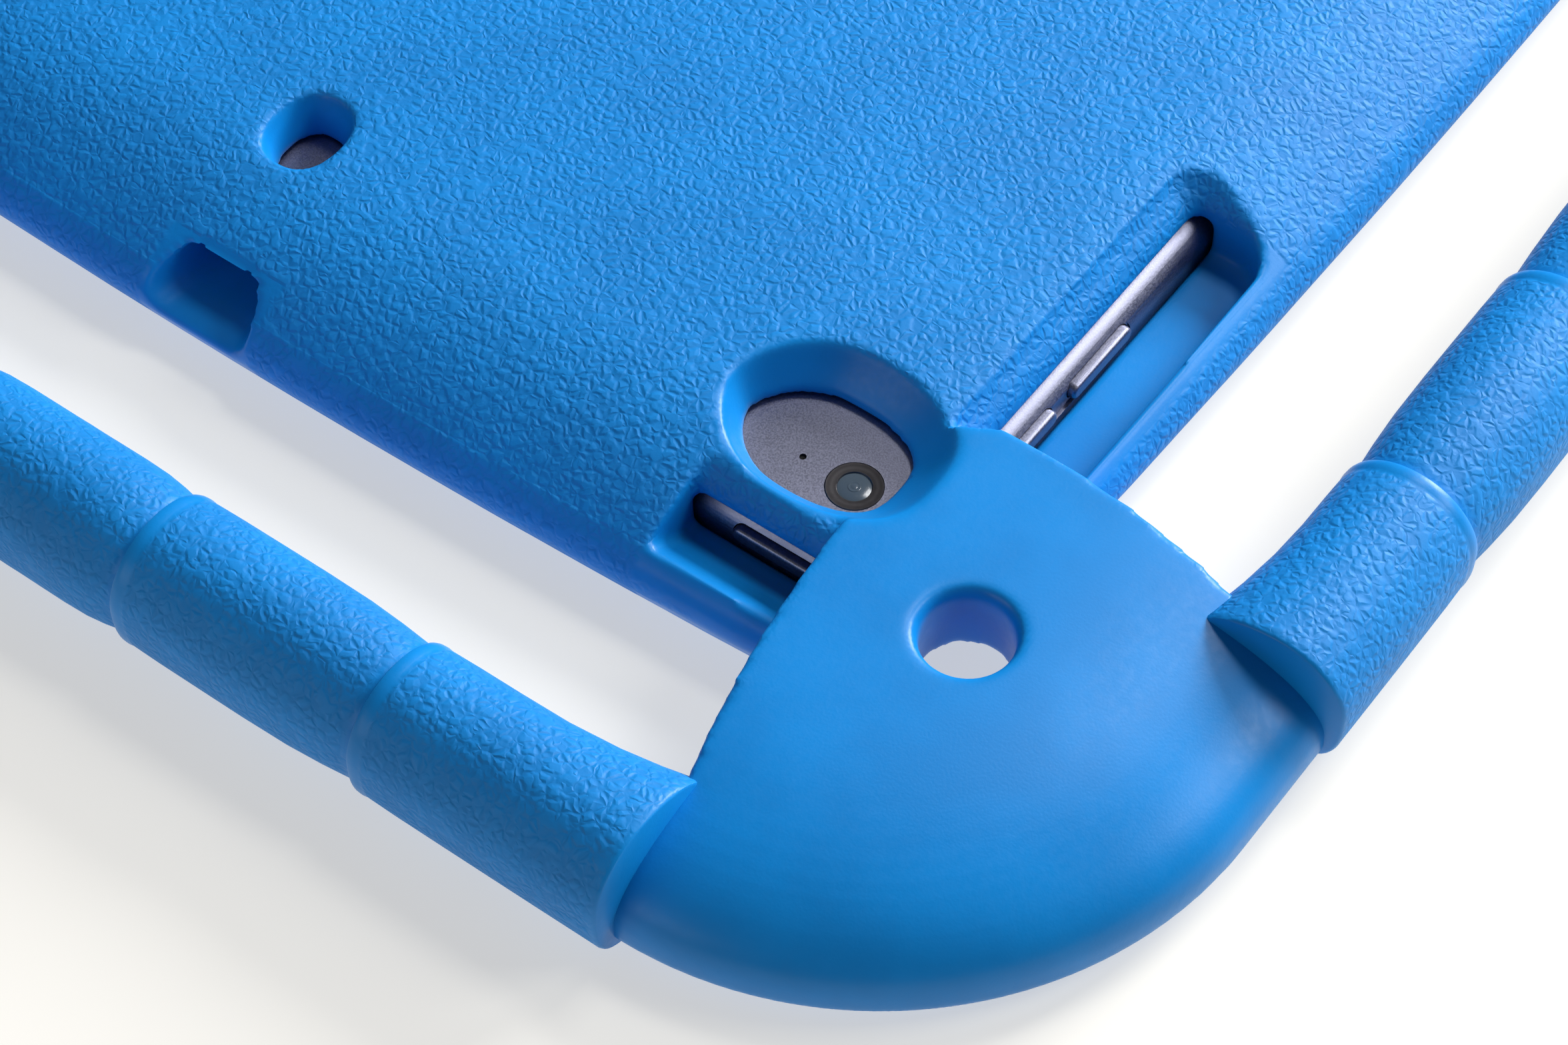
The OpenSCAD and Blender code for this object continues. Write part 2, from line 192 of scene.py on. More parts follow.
def rounded_outline(half_x: float, half_y: float, radius: float, bulge: float = 0.0,
                    corner_steps: int = 12, side_steps: int = 16) -> list[Point2]:
    """Gives a rectangle with round corners and gently bulging sides, counterclockwise.

    Args:
        half_x: half its width.
        half_y: half its length.
        radius: the radius of its corners.
        bulge: how far the middle of each side stands out.
        corner_steps: the steps of each corner.
        side_steps: the steps of each side.

    Returns:
        The outline's points.
    """
    points = []
    for quadrant in range(4):
        turn = quadrant * math.pi / 2
        along, across = (half_y, half_x) if quadrant % 2 == 0 else (half_x, half_y)
        for step in range(1, side_steps):
            t = 2 * step / side_steps - 1
            local = (across + bulge * (1 - t * t), t * (along - radius))
            points.append(local + (turn,))
        for step in range(corner_steps + 1):
            angle = math.pi / 2 * step / corner_steps
            local = (across - radius + radius * math.cos(angle),
                     along - radius + radius * math.sin(angle))
            points.append(local + (turn,))
    return [(x * math.cos(a) - y * math.sin(a), x * math.sin(a) + y * math.cos(a))
            for x, y, a in points]


def pill_outline(length: float, height: float, steps: int = 12) -> list[Point2]:
    """Gives a bar with half-round ends, about its middle, counterclockwise.

    Args:
        length: its whole length, along the first axis.
        height: its height, along the second.
        steps: the steps of each end.

    Returns:
        The outline's points.
    """
    radius = height / 2
    reach = length / 2 - radius
    right = [(reach + radius * math.cos(a), radius * math.sin(a))
             for a in np.linspace(-math.pi / 2, math.pi / 2, steps + 1)]
    return right + [(-x, -y) for x, y in right]


def oval_outline(centre: Point2, half: Point2, powers: Point2 = (2.0, 2.0),
                 steps: int = 64) -> list[Point2]:
    """Gives an oval whose right and left ends may be fuller or leaner than an ellipse.

    Args:
        centre: its middle.
        half: its half width and half length.
        powers: how full the right and the left end are, 2 being an ellipse.
        steps: the number of points.

    Returns:
        The outline's points, counterclockwise.
    """
    points = []
    for angle in np.linspace(0, 2 * math.pi, steps, endpoint=False):
        c, s = math.cos(angle), math.sin(angle)
        share = (1 + c) / 2
        power = powers[1] + (powers[0] - powers[1]) * share
        reach = (abs(c) ** power + abs(s) ** power) ** (-1 / power)
        points.append((centre[0] + half[0] * reach * c, centre[1] + half[1] * reach * s))
    return points


def widened(outline: list[Point2], by: float) -> list[Point2]:
    """Moves a counterclockwise outline outwards.

    Args:
        outline: its points.
        by: how far they move.

    Returns:
        The moved points.
    """
    moved = []
    for before, (x, y), after in zip(outline[-1:] + outline[:-1], outline,
                                     outline[1:] + outline[:1]):
        way = (Vector(after) - Vector(before)).normalized()
        moved.append((x + by * way.y, y - by * way.x))
    return moved


class Blank:
    """A solid under way. It starts as a flat face, and grows as its selected cap is moved on."""

    def __init__(self, name: str, outline: Sequence[Point3]) -> None:
        """Starts from a filled circle whose points are laid on an outline.

        Args:
            name: the piece's name.
            outline: its points, in order, in one plane.
        """
        select_only(None)
        bpy.ops.mesh.primitive_circle_add(vertices=len(outline), fill_type="NGON")
        self.piece = bpy.context.object
        self.piece.name = name
        for vertex, point in zip(self.piece.data.vertices, outline):
            vertex.co = Vector(point) * MM
        bpy.ops.object.mode_set(mode="EDIT")
        bpy.ops.mesh.select_mode(type="FACE")
        bpy.ops.mesh.select_all(action="SELECT")

    def push(self, step: Point3, scale: Point3 = (1, 1, 1), about: Point3 = (0, 0, 0)) -> None:
        """Extrudes the cap, and scales it about a point.

        Args:
            step: how far it moves.
            scale: how much it grows along each axis.
            about: the point that stays in place.
        """
        bpy.ops.mesh.extrude_region_move(TRANSFORM_OT_translate={"value": Vector(step) * MM})
        if scale != (1, 1, 1):
            bpy.ops.transform.resize(value=scale, center_override=Vector(about) * MM)

    def step_in(self, inset: float, rise: float, shift: Point3 = (0, 0, 0)) -> None:
        """Insets the cap and raises it along its normal.

        Args:
            inset: how far its edge moves in.
            rise: how far it moves along its normal.
            shift: how far it then slides.
        """
        bpy.ops.mesh.inset(thickness=inset * MM, depth=rise * MM)
        if any(shift):
            bpy.ops.transform.translate(value=Vector(shift) * MM)

    def sink(self, rows: Curve, lean: float = 0.0) -> None:
        """Moves the cap down a flare.

        Args:
            rows: the flare's (width, height) pairs from the top, starting where the cap is.
            lean: how far the cap slides towards -X for each millimetre that it narrows.
        """
        for (wide, high), (narrow, low) in zip(rows, rows[1:]):
            self.step_in(wide - narrow, low - high, (lean * (narrow - wide), 0, 0))

    def select_end(self, axis: int, place: float) -> None:
        """Selects the faces that lie in one plane.

        Args:
            axis: 0, 1 or 2 for a plane across X, Y or Z.
            place: where the plane is along that axis.
        """
        bpy.ops.mesh.select_all(action="DESELECT")
        bpy.ops.object.mode_set(mode="OBJECT")
        mesh = self.piece.data
        for face in mesh.polygons:
            corners = [mesh.vertices[i].co[axis] / MM for i in face.vertices]
            face.select = max(abs(c - place) for c in corners) < 0.01
        bpy.ops.object.mode_set(mode="EDIT")

    def done(self) -> Piece:
        """Leaves edit mode, with the solid closed and its faces outwards."""
        return turn_out(self.piece)

    def finished(self, degrees: float) -> Piece:
        """Leaves edit mode, and shades the solid smoothly apart from its sharp edges."""
        smooth_finish(self.done(), degrees)
        return self.piece


def prism(name: str, outline: Curve, low: float, high: float) -> Piece:
    """Makes a straight solid on an outline.

    Args:
        name: the solid's name.
        outline: its outline.
        low: the height of its underside.
        high: the height of its top.

    Returns:
        The solid.
    """
    blank = Blank(name, at_height(outline, low))
    blank.push((0, 0, high - low))
    return blank.done()


def block(name: str, low: Point3, high: Point3) -> Piece:
    """Makes a box between two corners."""
    corners = [(low[0], low[1]), (high[0], low[1]), (high[0], high[1]), (low[0], high[1])]
    return prism(name, corners, low[2], high[2])


# ---------------------------------------------------------------- finishes


def linear(code: str) -> tuple[float, float, float, float]:
    """Turns an sRGB hex value into the linear colour that a shader takes.

    Args:
        code: the colour, such as "#2080D0".

    Returns:
        Red, green, blue and alpha.
    """
    channels = [int(code[i:i + 2], 16) / 255 for i in (1, 3, 5)]
    return (*[c / 12.92 if c <= 0.04045 else ((c + 0.055) / 1.055) ** 2.4 for c in channels], 1.0)


def add_node(tree: bpy.types.NodeTree, kind: str, settings: dict | None = None,
             links: dict | None = None) -> bpy.types.Node:
    """Adds a node with its settings and links.

    Args:
        tree: the material's node tree.
        kind: the node's type.
        settings: properties by name, and input values by name or number.
        links: for each input's name or number, the output that feeds it.

    Returns:
        The node.
    """
    node = tree.nodes.new(kind)
    for key, value in (settings or {}).items():
        if isinstance(key, str) and hasattr(node, key):
            setattr(node, key, value)
        else:
            node.inputs[key].default_value = value
    for key, output in (links or {}).items():
        tree.links.new(output, node.inputs[key])
    return node


class Surface:
    """A material under way: its tree, its shader, its object coordinates and its height."""

    def __init__(self, name: str, **shader: object) -> None:
        """Starts a material.

        Args:
            name: the material's name.
            shader: the shader's input values by name, with _ for a space.
        """
        self.material = bpy.data.materials.new(name)
        self.material.use_nodes = True
        self.tree = self.material.node_tree
        self.shader = self.tree.nodes["Principled BSDF"]
        for key, value in shader.items():
            self.shader.inputs[key.replace("_", " ")].default_value = value
        self.place = add_node(self.tree, "ShaderNodeTexCoord").outputs["Object"]

    def noise(self, size: float, detail: float = 2.0, source: object = None,
              roughness: float = 0.5) -> bpy.types.NodeSocket:
        """Adds noise whose features are about one size.

        Args:
            size: the feature size in millimetres.
            detail: how many finer layers it has.
            source: the coordinates, where they aren't the object's own.
            roughness: how strong the finer layers are.

        Returns:
            A value from 0 to 1.
        """
        node = add_node(self.tree, "ShaderNodeTexNoise",
                        {"Scale": 1 / (size * MM), "Detail": detail, "Roughness": roughness},
                        {"Vector": source or self.place})
        return node.outputs[0]

    def span(self, value: object, low: float, high: float, to_low: float = 0.0,
             to_high: float = 1.0, smooth: bool = True) -> bpy.types.NodeSocket:
        """Maps a value's range on to another.

        Args:
            value: the output to map.
            low: the value that becomes to_low.
            high: the value that becomes to_high.
            to_low: the lowest result.
            to_high: the highest result.
            smooth: whether the ends are eased.

        Returns:
            The mapped value.
        """
        node = add_node(self.tree, "ShaderNodeMapRange",
                        {"interpolation_type": "SMOOTHSTEP" if smooth else "LINEAR",
                         "From Min": low, "From Max": high, "To Min": to_low, "To Max": to_high},
                        {"Value": value})
        return node.outputs["Result"]

    def math(self, operation: str, a: object, b: object) -> bpy.types.NodeSocket:
        """Combines two values, each an output or a number."""
        pair = {0: a, 1: b}
        numbers = {k: v for k, v in pair.items() if isinstance(v, (int, float))}
        links = {k: v for k, v in pair.items() if k not in numbers}
        return add_node(self.tree, "ShaderNodeMath", {"operation": operation, **numbers},
                        links).outputs[0]

    def blend(self, share: object, first: object, second: object) -> bpy.types.NodeSocket:
        """Mixes two colours, each a hex value or an output.

        Args:
            share: how much of the second shows.
            first: the colour where share is 0.
            second: the colour where share is 1.

        Returns:
            The mixed colour.
        """
        pair = {6: first, 7: second}
        codes = {k: linear(v) for k, v in pair.items() if isinstance(v, str)}
        links = {k: v for k, v in pair.items() if k not in codes}
        return add_node(self.tree, "ShaderNodeMix", {"data_type": "RGBA", **codes},
                        {0: share, **links}).outputs[2]

    def feed(self, **outputs: object) -> None:
        """Links outputs to the shader's inputs, with _ for a space."""
        for key, output in outputs.items():
            self.tree.links.new(output, self.shader.inputs[key.replace("_", " ")])

    def bump(self, height: object, depth: float, under: object = None) -> bpy.types.NodeSocket:
        """Turns a height into a normal.

        Args:
            height: a value from 0 to 1.
            depth: what 1 stands for, in millimetres.
            under: a normal to add it to.

        Returns:
            The normal.
        """
        links = {"Height": height}
        if under:
            links["Normal"] = under
        return add_node(self.tree, "ShaderNodeBump", {"Strength": 1.0, "Distance": depth * MM},
                        links).outputs[0]


@dataclass(frozen=True)
class MouldedFoam:
    """Closed-cell EVA foam, pressed in a heated mould.

    The mould's etched walls leave a pebble grain on most of it, and its polished walls leave the
    corners and the cut-outs smooth, with a soft sheen. The "grain" attribute says which is where.
    """

    lit: str = "#0A86D6"
    deep: str = "#0A7ECB"
    # The colour of the painted shade in the grain's sunken valleys.
    painted_valley_shade: str = "#0A6CB6"
    pebble: float = 1.3
    pebble_depth: float = 0.10
    warp: float = 0.45

    def build(self) -> bpy.types.Material:
        """Builds the foam's material."""
        surface = Surface("moulded_eva_foam", IOR=1.45, Specular_IOR_Level=0.32)
        tree = surface.tree
        grain = add_node(tree, "ShaderNodeAttribute", {"attribute_name": "grain"}).outputs["Fac"]
        drift = add_node(tree, "ShaderNodeTexNoise", {"Scale": 1 / (1.7 * MM), "Detail": 1.0},
                         {"Vector": surface.place}).outputs["Color"]
        centred = add_node(tree, "ShaderNodeVectorMath", {"operation": "SUBTRACT", 1: (0.5,) * 3},
                           {0: drift}).outputs[0]
        warped = add_node(tree, "ShaderNodeVectorMath",
                          {"operation": "MULTIPLY_ADD", 1: (2 * self.warp * MM,) * 3},
                          {0: centred, 2: surface.place}).outputs[0]
        cells = add_node(tree, "ShaderNodeTexVoronoi",
                         {"feature": "DISTANCE_TO_EDGE", "Scale": 1 / (self.pebble * MM)},
                         {"Vector": warped}).outputs["Distance"]
        crest = surface.span(cells, 0.0, 0.36)
        joined = surface.span(surface.noise(1.6, 1.0), 0.48, 0.70)
        pebbles = surface.math("MAXIMUM", crest, surface.math("MULTIPLY", joined, 0.9))
        relief = surface.math("MULTIPLY", pebbles, grain)
        skin = surface.noise(0.35, 2.0)
        normal = surface.bump(skin, 0.012)
        normal = surface.bump(relief, self.pebble_depth, normal)
        patches = surface.span(surface.noise(14, 3.0), 0.3, 0.7)
        colour = surface.blend(patches, self.lit, self.deep)
        # Painted shade: the colour darkens in the grain's sunken valleys, where shade falls between the
        # pebbles.
        painted_shade_share = surface.math("MULTIPLY", surface.math("SUBTRACT", 1.0, pebbles), grain)
        colour = surface.blend(surface.math("MULTIPLY", painted_shade_share, 0.25), colour, self.painted_valley_shade)
        fine = surface.span(surface.noise(0.9, 2.0), 0.3, 0.7, -0.03, 0.03)
        rough = surface.math("ADD", surface.span(grain, 0, 1, 0.36, 0.56), fine)
        surface.feed(Base_Color=colour, Roughness=rough, Normal=normal)
        return surface.material


@dataclass(frozen=True)
class BlastedAluminium:
    """Aluminium alloy, milled, bead-blasted and anodised grey.

    The blasting leaves a fine even sparkle with no direction, and the anodising a faint lilac grey.
    """

    light: str = "#8B8DA0"
    dark: str = "#7A7C8E"
    # A blasting bead leaves pits of 0.05 mm; they are drawn coarser so that they show.
    pit: float = 0.22

    def build(self) -> bpy.types.Material:
        """Builds the aluminium's material."""
        surface = Surface("bead_blasted_anodised_aluminium", Metallic=1.0)
        speckle = surface.span(surface.noise(self.pit, 2.0, roughness=0.7), 0.35, 0.65)
        cloud = surface.noise(9, 2.0)
        colour = surface.blend(speckle, self.dark, self.light)
        rough = surface.math("ADD", surface.span(speckle, 0, 1, 0.36, 0.46),
                             surface.span(cloud, 0.3, 0.7, -0.02, 0.02))
        surface.feed(Base_Color=colour, Roughness=rough, Normal=surface.bump(speckle, 0.004))
        return surface.material


@dataclass(frozen=True)
class CoverGlass:
    """Aluminosilicate glass over a black printed border, with the dark display behind it.

    It is glossy and almost black, and finger marks dull it in patches.
    """

    border: str = "#0B0B0D"
    screen: str = "#10131A"
    screen_half: Point2 = (74.5, 98.5)

    def build(self) -> bpy.types.Material:
        """Builds the front glass's material."""
        surface = Surface("black_cover_glass", IOR=1.52, Coat_Weight=0.3, Coat_Roughness=0.03)
        axes = add_node(surface.tree, "ShaderNodeSeparateXYZ", None, {0: surface.place})
        inside = 1.0
        for axis, half in zip(("X", "Y"), self.screen_half):
            away = surface.math("ABSOLUTE", axes.outputs[axis], 0.0)
            inside = surface.math("MULTIPLY", surface.math("LESS_THAN", away, half * MM), inside)
        colour = surface.blend(inside, self.border, self.screen)
        marks = surface.span(surface.noise(22, 4.0), 0.45, 0.75, 0.05, 0.13)
        surface.feed(Base_Color=colour, Roughness=marks)
        return surface.material


@dataclass(frozen=True)
class TurnedRing:
    """Aluminium, turned and anodised dark grey; the tool leaves fine rings about its middle."""

    metal: str = "#474547"
    groove: str = "#3C3A3C"
    centre: Point2 = (0.0, 0.0)
    groove_pitch: float = 0.12

    def build(self) -> bpy.types.Material:
        """Builds the camera ring's material."""
        surface = Surface("dark_anodised_ring", Metallic=0.85)
        local = add_node(surface.tree, "ShaderNodeMapping",
                         {"Location": (-self.centre[0] * MM, -self.centre[1] * MM, 0)},
                         {"Vector": surface.place}).outputs[0]
        rings = add_node(surface.tree, "ShaderNodeTexWave",
                         {"wave_type": "RINGS", "rings_direction": "Z", "Distortion": 0.4,
                          "Scale": 1 / (self.groove_pitch * MM) / 20}, {"Vector": local}).outputs[1]
        surface.feed(Base_Color=surface.blend(rings, self.groove, self.metal),
                     Roughness=surface.span(surface.noise(0.3), 0.3, 0.7, 0.34, 0.44),
                     Normal=surface.bump(rings, 0.002))
        return surface.material


@dataclass(frozen=True)
class CoatedGlass:
    """Optical glass with an anti-reflection coating, over a black lens barrel.

    Its colour paints the coating's weak blue-grey reflection, stronger towards the rim.
    """

    deep: str = "#3E4C58"
    # The colour of the painted reflection where the glass turns away, at the rim.
    rim: str = "#667480"

    def build(self) -> bpy.types.Material:
        """Builds the camera glass's material."""
        surface = Surface("coated_lens_glass", IOR=1.5, Coat_Weight=0.4, Coat_Roughness=0.12,
                          Coat_IOR=1.5)
        # Painted reflection: the colour grows lighter blue-grey where the glass turns away from the view,
        # towards the rim.
        edge = add_node(surface.tree, "ShaderNodeLayerWeight", {"Blend": 0.35}).outputs["Facing"]
        tint_with_painted_reflection = surface.blend(edge, self.deep, self.rim)
        dust = surface.span(surface.noise(0.5, 3.0), 0.5, 0.8, 0.16, 0.26)
        surface.feed(Base_Color=tint_with_painted_reflection, Roughness=dust)
        return surface.material


@dataclass(frozen=True)
class SatinSolid:
    """A plain engineering material inside the tablet or round its sockets, with mottle and tooth.

    It stands for injection-moulded black ABS, plated steel, solder-masked board or battery foil,
    by its colours, its metal share and its grain.
    """

    name: str
    light: str
    dark: str
    metallic: float = 0.0
    rough: float = 0.5
    grain: float = 0.4
    depth: float = 0.01

    def build(self) -> bpy.types.Material:
        """Builds the material."""
        surface = Surface(self.name, Metallic=self.metallic)
        tooth = surface.noise(self.grain, 3.0)
        share = surface.span(tooth, 0.3, 0.7)
        surface.feed(Base_Color=surface.blend(share, self.dark, self.light),
                     Roughness=surface.span(tooth, 0.3, 0.7, self.rough - 0.05, self.rough + 0.05),
                     Normal=surface.bump(tooth, self.depth))
        return surface.material


def dress(piece: Piece, material: bpy.types.Material) -> None:
    """Gives a piece one material in all its slots."""
    if not piece.data.materials:
        piece.data.materials.append(material)
    for index in range(len(piece.data.materials)):
        piece.data.materials[index] = material


# ---------------------------------------------------------------- the foam


def ease(value: np.ndarray, low: float, high: float) -> np.ndarray:
    """Rises smoothly from 0 at low to 1 at high."""
    t = np.clip((value - low) / (high - low), 0, 1)
    return t * t * (3 - 2 * t)


@dataclass
class Corner:
    """The fan-shaped guard at +X -Y, which the other three mirror."""

    half_w: float
    half_l: float
    radius: float = 48.5
    top: float = 15.6
    rim: float = 5.3
    under: float = 2.0
    bar_x: float = 84.0
    bar_y: float = 101.0
    hole_radius: float = 5.4
    hole_out: float = 12.8
    hole_back: float = 1.2
    recess: Point2 = (9.5, 5.5)
    # The guard's inner edges, as (Y, X) on the short side and (X, Y) on the long side.
    short_edge: Curve = ((-94, 84.8), (-96.1, 84.4), (-98.8, 80.0), (-107, 78.4), (-115.5, 77.7),
                         (-123.7, 78.5), (-136, 80.2), (-146, 82.0), (-155.5, 84.0))
    long_edge: Curve = ((77, -104), (80, -98.8), (84.8, -96.1), (92, -96.0), (99, -96.4),
                        (106, -97.2), (112.6, -98.3), (119, -99.8), (136, -101.0))

    @property
    def hole(self) -> Point2:
        """The middle of the strap hole."""
        return (self.half_w + self.hole_out, -self.half_l - self.hole_back)

    def height(self, reach: float) -> float:
        """The top's height at a distance from the tablet's corner."""
        share = min(reach / self.radius, 1.0)
        return self.rim + (self.top - self.rim) * math.sqrt(max(1 - share ** 4, 0))

    def section(self, steps: int = 22) -> list[Point2]:
        """The guard's closed section, from the tablet's corner out to its rim."""
        reach = [self.radius * math.sin(math.pi / 2 * i / steps) for i in range(steps + 1)]
        dome = [(r, self.height(r)) for r in reach]
        foot = [(self.radius, 3.4), (self.radius - 0.4, 2.5), (self.radius - 1.3, self.under)]
        return [(0, self.under)] + foot[::-1] + dome[::-1]

    def ground(self) -> list[Point2]:
        """The outline of the ground that the guard covers, counterclockwise."""
        inner = [(80.0, -98.8), (84.8, -96.1)]
        inner += [(x, -96 - 0.0045 * max(x - 90, 0) ** 2) for x in np.linspace(87, 119, 12)]
        inner += [(119.2, -self.bar_y), (137, -self.bar_y)]
        outer = [(self.half_w + 53 * math.cos(a), -self.half_l + 53 * math.sin(a))
                 for a in np.linspace(0, -math.pi / 2, 13)]
        back = [(self.bar_x, -self.half_l - 53), (self.bar_x, -155.5)]
        drops = np.linspace(38, 0, 9)
        back += [(77.7 + 0.045 * t + 0.0031 * t * t, -115.5 - t) for t in drops]
        return (inner + outer + back)[::-1]

    def solid(self) -> Piece:
        """Models the whole guard, to be trimmed to its ground.

        Returns:
            The closed solid.
        """
        overlap = 0.5
        face = [(self.half_w + r, -self.half_l, z) for r, z in self.section()]
        blank = Blank("guard", face)
        bpy.ops.mesh.spin(steps=40, angle=math.pi / 2, axis=(0, 0, 1),
                          center=(self.half_w * MM, -self.half_l * MM, 0))
        blank.select_end(0, self.half_w)
        blank.push((-12, 0, 0))
        blank.select_end(1, -self.half_l)
        blank.push((0, 28, 0))
        guard = blank.done()
        filler = block("guard_filler", (self.half_w - 12, -self.half_l - overlap, self.under),
                       (self.half_w + overlap, -self.half_l + 28, self.top))
        carve(guard, filler, Cut.ADD)
        return carve(guard, prism("ground", self.ground(), -2, 24), Cut.KEEP)

    def inside(self, x: np.ndarray, y: np.ndarray) -> np.ndarray:
        """How far each point is inside the guard's inner edges, for all four corners alike.

        Args:
            x: the points' X.
            y: the points' Y.

        Returns:
            The distances, below 0 outside.
        """
        short = np.array(sorted((-a, b) for a, b in self.short_edge))
        long = np.array([(a, -b) for a, b in self.long_edge])
        from_short = np.abs(x) - np.interp(np.abs(y), short[:, 0], short[:, 1], left=99)
        from_long = np.abs(y) - np.interp(np.abs(x), long[:, 0], long[:, 1], left=130)
        return np.minimum(from_short, from_long)

    def strap_hole(self) -> Piece:
        """Models the strap hole's cutter, which flares at the top as the mould's pin does."""
        rim = [(6.7, 16.4), (6.1, 15.5), (5.7, 14.9)]
        blank = Blank("strap_hole", at_height(oval_outline(self.hole, (rim[0][0],) * 2), 20))
        blank.push((0, 0, rim[0][1] - 20))
        blank.sink([*rim, (self.hole_radius, 14.2)])
        blank.push((0, 0, -16))
        round_it = prism("strap_recess", oval_outline(self.hole, (self.recess[0],) * 2), -1.5,
                         self.recess[1])
        return carve(blank.done(), round_it, Cut.ADD)


@dataclass
class Opening:
    """A rounded slot in the foam's side, tapering in to the tablet's edge."""

    name: str
    low: Point3
    high: Point3
    taper: float = 1.2


@dataclass
class FoamBody:
    """The tray, its front lip and its four corner guards, moulded as one and then parted."""

    half_w: float
    half_l: float
    lip_z: float
    corner: Corner
    tray_half: Point2 = (96.15, 131.4)
    tray_radius: float = 19.0
    bulge: float = 2.2
    widest_z: float = 5.5
    crease_z: float = 9.5
    crease_inset: float = 2.6
    roof_rise: float = 6.0
    roof_run: float = 24.0
    crown: float = 0.9
    pocket_z: float = 9.7
    play: float = 0.3
    slot_floor: float = 4.6
    window_centre: Point2 = (67.9, -107.0)
    window_half: Point2 = (10.3, 7.3)
    window_powers: Point2 = (2.5, 1.85)
    window_flare: float = 3.4
    # The power slot's floor, from outside inwards, as (Y, Z).
    scoop: Curve = ((-136.0, 9.7), (-129.7, 9.6), (-128.8, 9.2), (-127.6, 8.3), (-126.2, 7.0),
                    (-124.8, 5.9), (-123.0, 5.0))
    sound_hole: Point2 = (-7.4, -107.8)
    sound_half: Point2 = (3.3, 4.2)
    voxel: float = VOXEL
    pieces: dict[str, Piece] = field(default_factory=dict)

    def outline(self, inset: float) -> list[Point2]:
        """The tray's outline, inset from its widest line."""
        half_x, half_y = (side - inset for side in self.tray_half)
        return rounded_outline(half_x, half_y, self.tray_radius - inset, self.bulge)

    def shell(self) -> Piece:
        """Models the tray and lip as one solid: rounded side band, crease and crowned roof."""
        levels = [(3.4, 0.0), (2.4, 0.5), (1.6, 1.3), (0.9, self.lip_z), (0.25, 4.3),
                  (0.0, self.widest_z), (0.25, 6.8), (1.2, 8.3), (self.crease_inset, self.crease_z)]
        for share in np.linspace(0, 1, 9)[1:]:
            rise = self.roof_rise * (1 - (1 - share) ** 2.2)
            levels.append((self.crease_inset + self.roof_run * share, self.crease_z + rise))
        flat = levels[-1]
        for share in (0.15, 0.35, 0.6, 1.0):
            levels.append((flat[0] + 45 * share, flat[1] + self.crown * (1 - (1 - share) ** 2)))
        blank = Blank("foam", at_height(self.outline(levels[0][0]), levels[0][1]))
        for (inset, z), (next_inset, next_z) in zip(levels, levels[1:]):
            scale = [(side + self.bulge - next_inset) / (side + self.bulge - inset)
                     for side in self.tray_half]
            blank.push((0, 0, next_z - z), (*scale, 1))
        return blank.done()

    def tablet_room(self, name: str) -> Piece:
        """Models the tablet's own room, with a hair of play round it."""
        side = rounded_outline(self.half_w + self.play, self.half_l + self.play, 10 + self.play)
        return prism(name, side, self.lip_z, self.pocket_z)

    def pocket(self) -> Piece:
        """Models the room for the tablet, and the opening of the lip with its eased edge."""
        room = self.tablet_room("pocket")
        view = rounded_outline(self.half_w - 3.4, self.half_l - 3.4, 7.6)
        blank = Blank("display_opening", at_height(view, -1.0))
        blank.push((0, 0, 1.0))
        for inset, rise in ((0.8, 0.4), (0.5, 0.6), (0.3, 1.0), (0.01, 1.6)):
            blank.step_in(inset, rise)
        return carve(room, blank.done(), Cut.ADD)

    def edge_slot(self, opening: Opening) -> Piece:
        """Models a side opening's cutter, widest outside and tapering in towards the tablet.

        Args:
            opening: its box, outer face first along Y.

        Returns:
            The closed cutter.
        """
        (x0, y0, z0), (x1, y1, z1) = opening.low, opening.high
        middle = ((x0 + x1) / 2, y0, (z0 + z1) / 2)
        ring = rounded_outline((x1 - x0) / 2, (z1 - z0) / 2, 3.2, 0, 8, 1)
        blank = Blank(opening.name, [(middle[0] + a, y0, middle[2] + b) for a, b in ring])
        length = y1 - y0
        shrink = 1 - 2 * opening.taper / (x1 - x0)
        blank.push((0, length * 0.45, 0), (1 - (1 - shrink) * 0.7, 1, 1 - (1 - shrink) * 0.5), middle)
        blank.push((0, length * 0.55, 0), (1 - (1 - shrink) * 0.3, 1, 1), middle)
        return blank.done()

    def volume_slot(self) -> Piece:
        """Models the long slot beside the volume buttons, with a rounded inner edge."""
        flare = [(3.6, 16.0), (3.1, 14.0), (1.9, 12.9), (0.95, 12.0), (0.3, 11.0), (0.0, 9.8)]
        grow = flare[0][0]
        start = []
        for x, y, radius, quarter in ((93.65, -52.6, 4.8, 0), (82.6, -52.6, 1.8, 1),
                                      (82.6, -104.0, 1.8, 2), (93.65, -104.0, 4.8, 3)):
            out_x, out_y = (1 if quarter in (0, 3) else -1), (1 if quarter < 2 else -1)
            middle = (x - out_x * radius, y - out_y * radius)
            for step in range(9):
                angle = math.pi / 2 * (quarter + step / 8)
                start.append((middle[0] + (radius + grow) * math.cos(angle),
                              middle[1] + (radius + grow) * math.sin(angle)))
        blank = Blank("volume_slot", at_height(start, 22))
        blank.push((0, 0, flare[0][1] - 22))
        blank.sink(flare)
        blank.push((0, 0, self.slot_floor + 0.9 - 9.8))
        blank.step_in(0.35, -0.6)
        blank.step_in(0.9, -0.3)
        return blank.done()

    def across(self, name: str, profile: Curve, from_x: float, to_x: float) -> Piece:
        """Makes a solid along X on a (Y, Z) profile."""
        blank = Blank(name, [(from_x, y, z) for y, z in profile])
        blank.push((to_x - from_x, 0, 0))
        return blank.done()

    def power_slot(self) -> Piece:
        """Models the slot beside the power button: a scoop that falls from the lip to the tablet."""
        above = [(-115.8, 22.0), (-116.2, 14.8), (-117.6, 13.9), (-118.9, 12.8), (-119.7, 11.8),
                 (-120.1, 10.9), (-120.2, 10.0), (-118.4, 10.0), (-118.4, self.slot_floor)]
        return self.across("power_slot", [(-136, 22.0), *self.scoop, *above[::-1]], 59.8, 90.0)

